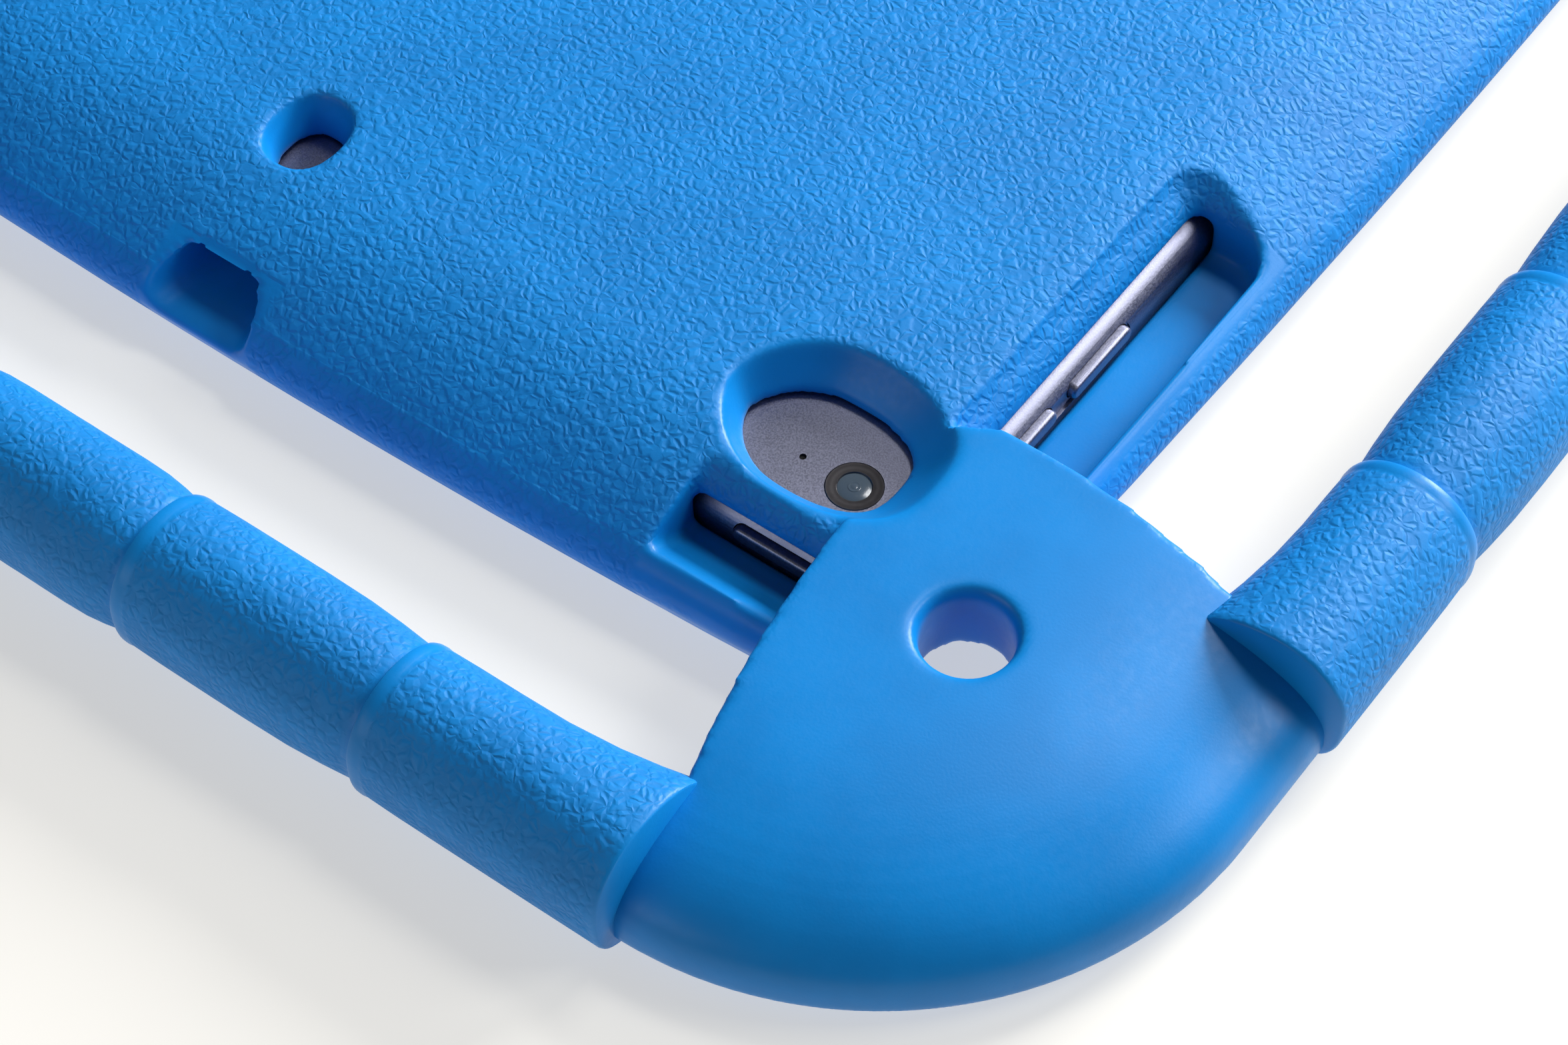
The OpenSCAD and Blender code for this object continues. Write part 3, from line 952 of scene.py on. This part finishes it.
    def window(self) -> Piece:
        """Models the camera window's cutter: a thin lip, and then a wide hollow flare."""
        flare = [(5.4, 18.0), (4.4, 16.2), (3.4, 15.0), (2.5, 13.7), (1.7, 12.6), (1.0, 11.8),
                 (0.45, 11.2), (0.0, 10.8)]
        lean = 1.3 / self.window_flare
        grow = flare[0][0]
        centre = (self.window_centre[0] + lean * grow, self.window_centre[1])
        half = (self.window_half[0] + grow, self.window_half[1] + grow)
        blank = Blank("window", at_height(oval_outline(centre, half, self.window_powers), 20))
        blank.push((0, 0, flare[0][1] - 20))
        blank.sink(flare, lean)
        blank.push((0, 0, -2.5))
        return blank.done()

    def sound_cutter(self) -> Piece:
        """Models the cutter of the small oval hole in the back."""
        flare = [(2.6, 17.5), (1.6, 15.4), (0.9, 13.4), (0.35, 11.6), (0.0, 10.4)]
        half = tuple(side + flare[0][0] for side in self.sound_half)
        blank = Blank("sound_hole", at_height(oval_outline(self.sound_hole, half, (2.3, 2.3)), 20))
        blank.push((0, 0, flare[0][1] - 20))
        blank.sink(flare)
        blank.push((0, 0, -2))
        return blank.done()

    def openings(self) -> list[Opening]:
        """The openings along the tablet's two short edges."""
        outside, inside = -self.half_l - 14.5, -self.half_l + 0.8
        floor = self.slot_floor
        rows = [Opening("top_edge_slot", (-12.6, outside, floor + 0.5), (3.6, inside, 12.0), 2.2),
                Opening("headphone_slot", (-76, outside, floor), (-64, inside, 12.2))]
        for name, x, half in (("charging_slot", 0, 9), ("speaker_slot_left", -38, 12),
                              ("speaker_slot_right", 38, 12)):
            rows.append(Opening(name, (x - half, -outside, floor), (x + half, -inside, 12.2)))
        return rows

    def master(self) -> Piece:
        """Models the whole foam body, before its edges are softened.

        Returns:
            The closed solid.
        """
        foam = self.shell()
        carve(foam, self.pocket(), Cut.REMOVE)
        for cutter in (self.volume_slot(), self.power_slot(), *map(self.edge_slot, self.openings())):
            carve(foam, cutter, Cut.REMOVE)
        guard = self.corner.solid()
        hole = self.corner.strap_hole()
        for x, y in CORNERS:
            carve(foam, mirrored(guard, "guard_copy", x, y), Cut.ADD)
        carve(foam, self.tablet_room("tablet_room"), Cut.REMOVE)
        way = [(-128.8, 11.6), *self.scoop[2:], (-118.4, self.slot_floor), (-118.4, 10.0),
               (-120.2, 10.0), (-120.2, 11.6)]
        tunnels = (block("volume_tunnel", (83, -103, self.slot_floor), (93.4, -95, 11.6)),
                   self.across("power_tunnel", way, 76, 84))
        for cutter in (*tunnels, self.window(), self.sound_cutter()):
            carve(foam, cutter, Cut.REMOVE)
        for x, y in CORNERS:
            carve(foam, mirrored(hole, "hole_copy", x, y), Cut.REMOVE)
        bpy.data.objects.remove(guard)
        bpy.data.objects.remove(hole)
        return foam

    def soften(self, foam: Piece) -> None:
        """Rounds every edge as foam comes out of a mould."""
        apply_modifier(foam, "REMESH", mode="VOXEL", voxel_size=self.voxel * MM)
        apply_modifier(foam, "SMOOTH", factor=0.5, iterations=5)

    def part(self, foam: Piece) -> None:
        """Parts the softened body into the panel, the walls, the lip and the guards.

        Args:
            foam: the softened body, which is used up.
        """
        around = rounded_outline(self.tray_half[0] + 0.05, self.tray_half[1] + 0.05,
                                 self.tray_radius, self.bulge)
        lip_room = prism("lip_room", around, -2, self.lip_z + 0.02)
        core = prism("core", around, -3, self.pocket_z)
        # The guards take a hair of the roof with them, so that their edges stay whole.
        ground = prism("ground", widened(self.corner.ground(), 0.6), -4, 24)
        lip = carve(copy_of(foam, "foam_front_lip"), lip_room, Cut.KEEP, keep_tool=True)
        tray = carve(copy_of(foam, "foam_side_walls"), lip_room, Cut.REMOVE)
        self.pieces["front_lip"] = lip
        for name, x, y in (("corner_guard_camera", 1, 1), ("corner_guard_jack", -1, 1),
                           ("corner_guard_bottom_left", -1, -1),
                           ("corner_guard_bottom_right", 1, -1)):
            zone = carve(mirrored(ground, "zone", x, y), core, Cut.REMOVE, keep_tool=True)
            carve(tray, zone, Cut.REMOVE, keep_tool=True)
            self.pieces[name] = carve(copy_of(foam, "foam_" + name), zone, Cut.KEEP)
        above = prism("above", rounded_outline(*(side + 2 for side in self.tray_half),
                                               self.tray_radius, self.bulge), self.pocket_z, 30)
        self.pieces["back_panel"] = carve(copy_of(tray, "foam_back_panel"), above, Cut.KEEP,
                                          keep_tool=True)
        self.pieces["side_walls"] = carve(tray, above, Cut.REMOVE)
        for spare in (foam, core, ground):
            bpy.data.objects.remove(spare)

    def grain(self, points: np.ndarray) -> np.ndarray:
        """Says where the mould left its grain, from 1 to 0 where it is smooth.

        Args:
            points: the places, in millimetres.

        Returns:
            One value for each place.
        """
        x, y, z = points.T
        value = 1 - ease(self.corner.inside(x, y), -1.6, 1.4)
        flare = self.window_flare
        for centre, half, power in (
                ((self.window_centre[0] + 1.2, self.window_centre[1]),
                 (self.window_half[0] + flare, self.window_half[1] + flare), 2.2),
                (self.sound_hole, (self.sound_half[0] + 1.5, self.sound_half[1] + 1.5), 2.3)):
            reach = (np.abs((x - centre[0]) / half[0]) ** power
                     + np.abs((y - centre[1]) / half[1]) ** power) ** (1 / power)
            value = np.minimum(value, ease(reach, 0.98, 1.08))
        slots = [(82.9, -103, 95.4, -52.8, 13.0), (59.9, -131.6, 84, -121.4, 13.0)]
        slots += [(o.low[0], min(o.low[1], o.high[1]), o.high[0], max(o.low[1], o.high[1]), 12.1)
                  for o in self.openings()]
        for x0, y0, x1, y1, top in slots:
            out = np.maximum(np.maximum(x0 - x, x - x1), np.maximum(y0 - y, y - y1))
            value = np.where(z < top, np.minimum(value, ease(out, 0.0, 0.9)), value)
        within = np.maximum(np.abs(x) - self.half_w, np.abs(y) - self.half_l)
        return np.where((z < self.pocket_z + 0.3) & (within < 0.8), 0, value)

    def build(self) -> dict[str, Piece]:
        """Builds the foam pieces.

        Returns:
            The pieces by name.
        """
        foam = self.master()
        self.soften(foam)
        self.part(foam)
        for name, piece in self.pieces.items():
            piece.data.calc_loop_triangles()
            triangles = len(piece.data.loop_triangles)
            if triangles > MOST_TRIANGLES:
                apply_modifier(piece, "DECIMATE", ratio=MOST_TRIANGLES / triangles)
            mark_grain(piece, self.grain)
            smooth_finish(piece, 52)
            LOG.info("%s: %d triangles", name, min(triangles, MOST_TRIANGLES))
        return self.pieces


def mark_grain(piece: Piece, rule: Callable[[np.ndarray], np.ndarray]) -> None:
    """Stores how strong the grain is at each point of a piece.

    Args:
        piece: the foam piece.
        rule: gives the grain for places in millimetres.
    """
    mesh = piece.data
    points = np.zeros(len(mesh.vertices) * 3)
    mesh.vertices.foreach_get("co", points)
    attribute = mesh.attributes.new("grain", "FLOAT", "POINT")
    attribute.data.foreach_set("value", rule(points.reshape(-1, 3) / MM).astype(np.float32))


@dataclass
class GripBar:
    """A ribbed foam bar, modelled along +X with its outer side at -Y, and then laid in place."""

    name: str
    ribs: tuple[float, ...]
    half: float
    place: Point2
    turn: float
    depth: float = 0.85
    radius: Point2 = (8.85, 9.0)
    bead: float = 2.0
    belly: float = 0.0035
    flare_from: float = 20.0
    flare: float = 3.0
    steps: int = 72

    def section(self) -> list[Point2]:
        """The bar's section: round above and inside, flatter below and outside."""
        points = []
        for angle in np.linspace(0, 2 * math.pi, self.steps, endpoint=False):
            c, s = math.cos(angle), math.sin(angle)
            flat = max(0.0, math.cos(angle - math.radians(225)))
            power = 2.05 + 0.75 * flat ** 2
            reach = (abs(c) ** power + abs(s) ** power) ** (-1 / power)
            points.append((self.radius[0] * reach * c, self.radius[1] * reach * s))
        return points

    def stations(self) -> list[Point2]:
        """How thick the bar is along its half, as (distance, share) pairs."""
        low = 1 - self.depth / self.radius[1]
        starts = (0.0, *self.ribs)
        ends = (*self.ribs, self.half)
        rows = []
        for start, end in zip(starts, ends):
            head = start + self.bead if start else start
            if start or self.ribs[0] == 0:
                rows += [(start, low), (start + 0.12, low + 0.02), (start + 0.38, 0.982),
                         (start + 0.7, 0.995), (start + 1.3, 1.0), (head - 0.2, 0.993),
                         (head + 0.1, 0.988), (head + 0.5, 0.992)]
            last = end == self.half
            span = end - head
            for share in (0.12, 0.3, 0.5, 0.7, 0.85, 0.95):
                barrel = 1 - self.belly * (2 * share - 1) ** 2
                slope = 0 if last else (1 - low) * max(0, (share - 0.55) / 0.45) ** 2
                rows.append((head + span * share, barrel - slope))
            if last:
                rows += [(end - 0.5, 0.998), (end - 0.15, 0.985), (end, 0.96)]
        if not self.ribs[0] == 0:
            rows.insert(0, (0.0, 1.0))
        return [row for row, after in zip(rows, rows[1:] + [(1e9, 0)]) if after[0] - row[0] > 0.05]

    def build(self) -> Piece:
        """Models half the bar, mirrors it, and lays it in place.

        Returns:
            The bar.
        """
        stations = self.stations()
        share = stations[0][1]
        ring = [(0.0, u * share, self.radius[1] + v * share) for u, v in self.section()]
        blank = Blank(self.name, ring)
        now = share
        for (place, _), (ahead, share) in zip(stations, stations[1:]):
            blank.push((ahead - place, 0, 0), (1, share / now, share / now),
                       (ahead, 0, self.radius[1]))
            now = share
        bar = blank.done()
        self.flare_ends(bar)
        select_only(bar)
        bpy.ops.object.mode_set(mode="EDIT")
        blank.select_end(0, 0.0)
        bpy.ops.mesh.delete(type="FACE")
        bpy.ops.object.mode_set(mode="OBJECT")
        apply_modifier(bar, "MIRROR", use_axis=(True, False, False), merge_threshold=0.01 * MM)
        turn_out(bar)
        mark_grain(bar, self.grain)
        bar.rotation_euler = (0, 0, self.turn)
        bar.location = (self.place[0] * MM, self.place[1] * MM, 0)
        select_only(bar)
        bpy.ops.object.transform_apply(location=True, rotation=True, scale=True)
        smooth_finish(bar, 40)
        LOG.info("%s: %d faces", self.name, len(bar.data.polygons))
        return bar

    def flare_ends(self, bar: Piece) -> None:
        """Swells the bar's inner side towards the guard, where it grows out of it."""
        for vertex in bar.data.vertices:
            along = vertex.co.x / MM - (self.half - self.flare_from)
            inner = max(vertex.co.y / MM / self.radius[0], 0.0)
            if along > 0:
                vertex.co.y += self.flare * (along / self.flare_from) ** 2 * inner * MM

    def grain(self, points: np.ndarray) -> np.ndarray:
        """Says where the bar is grained: all but its beads and its ends."""
        along = np.abs(points[:, 0])
        value = 1 - ease(along, self.half - 0.9, self.half - 0.2)
        for rib in self.ribs:
            away = along - rib - 0.9
            value = np.minimum(value, ease(np.abs(away), 1.0, 1.7))
        return value


# ---------------------------------------------------------------- the tablet


@dataclass
class Tablet:
    """The tablet's housing and the pieces on it that the case's openings show."""

    half_w: float
    half_l: float
    glass_z: float
    back_z: float
    side_z: float
    camera: Point2
    wall: float = 1.2
    radius: float = 10.0
    button_gap: float = 0.15
    roll: Point2 = (4.2, 4.0)
    camera_hole: float = 3.44
    # The sound hole's distance from the camera, and its radius.
    sound_hole: Point2 = (7.2, 0.43)
    # The recess that the two volume buttons share: its middle from the edge, and its three sizes.
    recess_from_edge: float = 36.7
    recess_size: Point3 = (28.4, 3.0, 0.45)
    charging_socket: Point2 = (8.9, 2.7)
    # The speakers' holes: how far out their middles are, and their pitch, diameter and row count.
    speaker_x: float = 38.0
    speaker_holes: tuple[float, float, int] = (2.0, 1.1, 11)
    jack_x: float = -70.0
    jack_radius: float = 1.8

    def slab(self) -> Piece:
        """Models the housing's outside: a flat back that rolls over into the sides."""
        blank = Blank("housing", at_height(
            rounded_outline(self.half_w - 0.35, self.half_l - 0.35, self.radius - 0.35,
                            corner_steps=24, side_steps=4), self.glass_z))
        grow = [(side / (side - 0.35)) for side in (self.half_w, self.half_l)]
        blank.push((0, 0, 0.35), (*grow, 1))
        roll, rise = self.roll
        blank.push((0, 0, self.back_z - rise - self.glass_z - 0.35))
        angles = np.linspace(0, math.pi / 2, 13)
        for a, b in zip(angles, angles[1:]):
            blank.step_in(roll * (math.cos(a) - math.cos(b)), rise * (math.sin(b) - math.sin(a)))
        blank.step_in(0.3, 0.0)
        return blank.done()

    def side_pill(self, name: str, centre: Point3, length: float, height: float, inner: float,
                  outer: float, along: int) -> Piece:
        """Makes a pill-shaped solid that stands in a side of the tablet.

        Args:
            name: its name.
            centre: its middle, on the side's face.
            length: its length along the side.
            height: its height.
            inner: how far it goes in from the face.
            outer: how far it stands out.
            along: 0 where it lies along X, on the -Y side, or 1 where it lies along Y, on +X.

        Returns:
            The solid.
        """
        ring = pill_outline(length, height)
        if along == 0:
            blank = Blank(name, [(centre[0] + a, centre[1] + inner, centre[2] + b) for a, b in ring])
            blank.push((0, -inner - outer, 0))
        else:
            blank = Blank(name, [(centre[0] - inner, centre[1] + a, centre[2] + b) for a, b in ring])
            blank.push((inner + outer, 0, 0))
        return blank.done()

    def housing(self) -> Piece:
        """Models the housing, hollow and with its holes."""
        shell = self.slab()
        glass_seat = rounded_outline(self.half_w - 0.8, self.half_l - 0.8, self.radius - 0.8)
        room = rounded_outline(self.half_w - self.wall, self.half_l - self.wall,
                               self.radius - self.wall)
        below, above = self.back_z - 4.5, self.back_z + 2.5
        away, radius = self.sound_hole
        tools = [prism("seat", glass_seat, self.glass_z - 1, self.glass_z + 0.7),
                 prism("room", room, self.glass_z + 0.5, self.back_z - self.wall),
                 prism("camera_hole", oval_outline(self.camera, (self.camera_hole,) * 2),
                       below, above),
                 prism("sound_hole", oval_outline((self.camera[0] - away, self.camera[1]),
                                                  (radius,) * 2, steps=24), below, above)]
        for name, (along, length) in BUTTONS.items():
            low, high = (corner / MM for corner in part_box(name))
            centre = [(a + b) / 2 for a, b in zip(low, high)]
            centre[1 - along] = -self.half_l if along == 0 else self.half_w
            gap = 2 * self.button_gap
            tools.append(self.side_pill("recess", tuple(centre), length + gap,
                                        high[2] - low[2] + gap, 3.0, 2.0, along))
        seat = (self.half_w, -self.half_l + self.recess_from_edge, self.side_z)
        tools.append(self.side_pill("volume_recess", seat, *self.recess_size, 2.0, 1))
        pitch, wide, count = self.speaker_holes
        sockets = [(0, *self.charging_socket)]
        sockets += [(self.speaker_x + pitch * (i - count // 2), wide, wide) for i in range(count)]
        sockets += [(-x, w, h) for x, w, h in sockets[1:]]
        for x, width, height in sockets:
            ring = pill_outline(width, height, 8) if width > height else \
                oval_outline((0, 0), (width / 2, height / 2), steps=20)
            blank = Blank("socket", [(x + a, self.half_l - 2.5, self.side_z + b) for a, b in ring])
            blank.push((0, 4, 0))
            tools.append(blank.done())
        jack = [(self.jack_x + a, -self.half_l + 2.5, self.side_z - 0.1 + b)
                for a, b in oval_outline((0, 0), (self.jack_radius,) * 2, steps=40)]
        blank = Blank("jack", jack)
        blank.push((0, -4, 0))
        tools.append(blank.done())
        for tool in tools:
            carve(shell, tool, Cut.REMOVE)
        shell.name = "aluminium_housing"
        smooth_finish(shell, 28)
        return shell

    def button(self, node: str, along: int, length: float) -> Piece:
        """Models a side button with eased edges.

        Args:
            node: the CAD node that it stands for.
            along: 0 where it lies along X, 1 along Y.
            length: its length.

        Returns:
            The button.
        """
        low, high = (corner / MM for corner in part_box(node))
        centre = [(a + b) / 2 for a, b in zip(low, high)]
        out = -low[1] - self.half_l if along == 0 else high[0] - self.half_w
        centre[1 - along] = -self.half_l if along == 0 else self.half_w
        cap = self.side_pill(node + "_cap", tuple(centre), length, high[2] - low[2], 1.5, out, along)
        apply_modifier(cap, "BEVEL", width=0.5 * MM, segments=5, limit_method="ANGLE",
                       angle_limit=math.radians(60))
        smooth_finish(cap, 35)
        return cap

    def camera_parts(self) -> dict[str, Piece]:
        """Models the camera's ring, its glass and the lens behind it."""
        shade = 30
        top = self.back_z + 0.05
        ring = Blank("camera_ring", at_height(oval_outline(self.camera, (3.38, 3.38), steps=96),
                                              self.back_z - 1))
        ring.push((0, 0, top - 0.08 - self.back_z + 1))
        for inset, rise in ((0.08, 0.08), (1.2, -0.04), (0.1, -0.12)):
            ring.step_in(inset, rise)
        ring.push((0, 0, -0.7))
        parts = {"rear_camera_ring": ring.finished(shade)}
        glass = Blank("camera_glass", at_height(oval_outline(self.camera, (1.98, 1.98), steps=72),
                                                self.back_z - 0.6))
        glass.push((0, 0, 0.45))
        for inset, rise in ((0.25, 0.05), (0.45, 0.05), (0.45, 0.03), (0.4, 0.01)):
            glass.step_in(inset, rise)
        parts["rear_camera_window"] = glass.finished(shade)
        lens = Blank("camera_lens", at_height(oval_outline(self.camera, (0.75, 0.75), steps=48),
                                              self.back_z - 0.2))
        lens.push((0, 0, 0.21))
        for inset, rise in ((0.1, 0.02), (0.15, -0.05), (0.15, 0.03), (0.2, 0.02)):
            lens.step_in(inset, rise)
        parts["rear_camera_lens"] = lens.finished(shade)
        return parts


BUTTONS: dict[str, tuple[int, float]] = {
    "power_button": (0, 13.4), "volume_up_button": (1, 12.2), "volume_down_button": (1, 12.2)}


# ---------------------------------------------------------------- the studio


@dataclass
class Studio:
    """A pale floor, soft lights and the camera."""

    azimuth: float = 37.22
    elevation: float = 53.6
    roll: float = -0.95
    target: Point3 = (70.13, -117.53, 9.5)
    distance: float = 463.0
    lens: float = 94.9
    floor_colour: str = "#B8B4AA"
    floor_glow: float = 0.53
    world_colour: str = "#F1F3F7"
    world_strength: float = 0.12
    aim: Point3 = (40, -60, 0)
    # Each lamp's name, place and size in millimetres, and power in watts: a low one behind that
    # models the shapes, a small one for the guard's sheen, one from the right, and a weak card in
    # front that the tablet's short side mirrors.
    lamps: tuple[tuple[str, Point3, Point2, float], ...] = (
        ("main", (268, 972, 569), (500, 400), 22.5),
        ("sheen", (60, 440, 900), (270, 200), 2.5),
        ("side", (760, 500, 760), (420, 420), 4.8),
        ("card", (-145, -645, 204), (420, 200), 0.5))

    def camera(self) -> None:
        """Sets the camera at its viewing angle."""
        a, e, r = (math.radians(v) for v in (self.azimuth, self.elevation, self.roll))
        back = Vector((math.sin(a) * math.cos(e), -math.cos(a) * math.cos(e), math.sin(e)))
        right = Vector((math.cos(a), math.sin(a), 0))
        up = back.cross(right)
        right, up = right * math.cos(r) + up * math.sin(r), up * math.cos(r) - right * math.sin(r)
        matrix = Matrix((right, up, back)).transposed().to_4x4()
        matrix.translation = (Vector(self.target) + back * self.distance) * MM
        data = bpy.data.cameras.new("camera")
        data.lens = self.lens
        data.sensor_width = 36.0
        data.clip_start = 0.01
        camera = bpy.data.objects.new("camera", data)
        camera.matrix_world = matrix
        bpy.context.scene.collection.objects.link(camera)
        bpy.context.scene.camera = camera

    def lamp(self, name: str, place: Point3, size: Point2, power: float) -> None:
        """Adds a soft white light panel that faces the case's near corner.

        Args:
            name: its name.
            place: where it hangs, in millimetres.
            size: its width and height in millimetres.
            power: its power in watts.
        """
        data = bpy.data.lights.new(name, "AREA")
        data.shape = "RECTANGLE"
        data.size, data.size_y = size[0] * MM, size[1] * MM
        data.energy = power
        lamp = bpy.data.objects.new(name, data)
        way = Vector(self.aim) - Vector(place)
        lamp.rotation_euler = way.to_track_quat("-Z", "Y").to_euler()
        lamp.location = Vector(place) * MM
        bpy.context.scene.collection.objects.link(lamp)

    def floor(self) -> None:
        """Lays the floor, a sheet of matt white acrylic with a weak glow of its own."""
        select_only(None)
        bpy.ops.mesh.primitive_plane_add(size=6.0, location=(0, 0, 0))
        floor = bpy.context.object
        floor.name = "floor"
        surface = Surface("lit_white_acrylic", Roughness=0.9, Specular_IOR_Level=0.1,
                          Emission_Color=linear("#FFFFFF"), Emission_Strength=self.floor_glow)
        cloud = surface.span(surface.noise(60, 3.0), 0.3, 0.7)
        surface.feed(Base_Color=surface.blend(cloud, self.floor_colour, "#B6B2A8"))
        dress(floor, surface.material)

    def build(self) -> None:
        """Sets up the studio."""
        scene = bpy.context.scene
        scene.view_settings.view_transform = "Standard"
        world = bpy.data.worlds.new("studio")
        world.use_nodes = True
        background = world.node_tree.nodes["Background"]
        background.inputs["Color"].default_value = linear(self.world_colour)
        background.inputs["Strength"].default_value = self.world_strength
        scene.world = world
        self.camera()
        self.floor()
        for row in self.lamps:
            self.lamp(*row)


def finishes() -> dict[str, bpy.types.Material]:
    """Builds every finish once.

    Returns:
        Each material slot's name with its material.
    """
    low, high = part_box("rear_camera_ring")
    middle = (low + high) / 2 / MM
    foam = MouldedFoam().build()
    plans = {
        "tablet_aluminium": BlastedAluminium(),
        "front_glass": CoverGlass(),
        "camera_ring_metal": TurnedRing(centre=(middle.x, middle.y)),
        "camera_window_glass": CoatedGlass(),
        "lcd_panel": SatinSolid("display_panel", "#1B2433", "#151C29", 0.0, 0.3, 3.0),
        "battery_pouch": SatinSolid("battery_foil", "#3B3C40", "#2C2D31", 0.5, 0.35, 2.5),
        "circuit_board": SatinSolid("solder_mask", "#1F5E3A", "#17482C", 0.0, 0.35, 0.8),
        "black_plastic": SatinSolid("black_abs", "#1E1E20", "#141416", 0.0, 0.45, 0.5),
        "black_mesh": SatinSolid("black_acoustic_mesh", "#0E0E0F", "#050506", 0.4, 0.6, 0.15),
        "socket_steel": SatinSolid("plated_steel", "#A9A9AC", "#8B8B8F", 1.0, 0.3, 0.6, 0.003),
        "button_glass": SatinSolid("home_button_glass", "#121214", "#0C0C0E", 0.0, 0.12, 2.0, 0.001)}
    ready = {name: plan.build() for name, plan in plans.items()}
    return {**ready, "eva_foam": foam, "eva_foam_smooth": foam}


def place_piece(piece: Piece, body: str, slot: str, material: bpy.types.Material,
                *nodes: str) -> None:
    """Dresses a finished piece and joins it to the frame.

    Args:
        piece: the piece.
        body: the CAD body that it rides on.
        slot: the record's material slot; not used.
        material: its finish.
        nodes: the CAD nodes that it stands for.
    """
    dress(piece, material)
    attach(piece, body)
    if nodes:
        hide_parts(*nodes)
    LOG.info("placed %s on %s", piece.name, body)


def main() -> None:
    """Builds the studio, the foam and the tablet, in that order."""
    logging.basicConfig(level=logging.INFO, format="%(name)s: %(message)s")
    Studio().build()
    materials = finishes()
    slots = {row["node"]: row["material_slot"] for row in frame["record"]["subparts"]}
    for name, node in frame["nodes"].items():
        dress(node, materials[slots[name]])

    low, high = (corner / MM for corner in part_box("tablet_housing"))
    window_low, window_high = (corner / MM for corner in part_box("rear_camera_ring"))
    camera = ((window_low.x + window_high.x) / 2, (window_low.y + window_high.y) / 2)
    corner = Corner(half_w=high.x, half_l=high.y)
    lip_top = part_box("front_lip")[1].z / MM
    body = FoamBody(half_w=high.x, half_l=high.y, lip_z=lip_top, corner=corner,
                    voxel=VOXEL)
    for name, piece in body.build().items():
        place_piece(piece, "case", slots[name], materials[slots[name]], name)

    short, long = (17.0, 51.0), (0.0, 41.5, 75.4)
    bar_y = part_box("grip_bar_bottom")[1].y / MM - 9
    bar_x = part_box("grip_bar_volume_side")[1].x / MM - 9
    for name, ribs, half, place, turn in (
            ("grip_bar_top", short, 85.3, (0, -bar_y), 0.0),
            ("grip_bar_bottom", short, 85.3, (0, bar_y), math.pi),
            ("grip_bar_volume_side", long, 104.0, (bar_x, 0), math.pi / 2),
            ("grip_bar_plain_side", long, 104.0, (-bar_x, 0), -math.pi / 2)):
        bar = GripBar("foam_" + name, ribs, half, place, turn).build()
        place_piece(bar, "case", slots[name], materials[slots[name]], name)

    button_z = (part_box("power_button")[0].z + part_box("power_button")[1].z) / 2 / MM
    tablet = Tablet(high.x, high.y, low.z, high.z, button_z, camera)
    metal = materials["tablet_aluminium"]
    place_piece(tablet.housing(), "tablet", "tablet_aluminium", metal, "tablet_housing")
    for node, (along, length) in BUTTONS.items():
        place_piece(tablet.button(node, along, length), node, "tablet_aluminium", metal, node)
    for node, piece in tablet.camera_parts().items():
        place_piece(piece, "tablet", slots[node], materials[slots[node]], node)


if __name__ == "__main__":
    main()
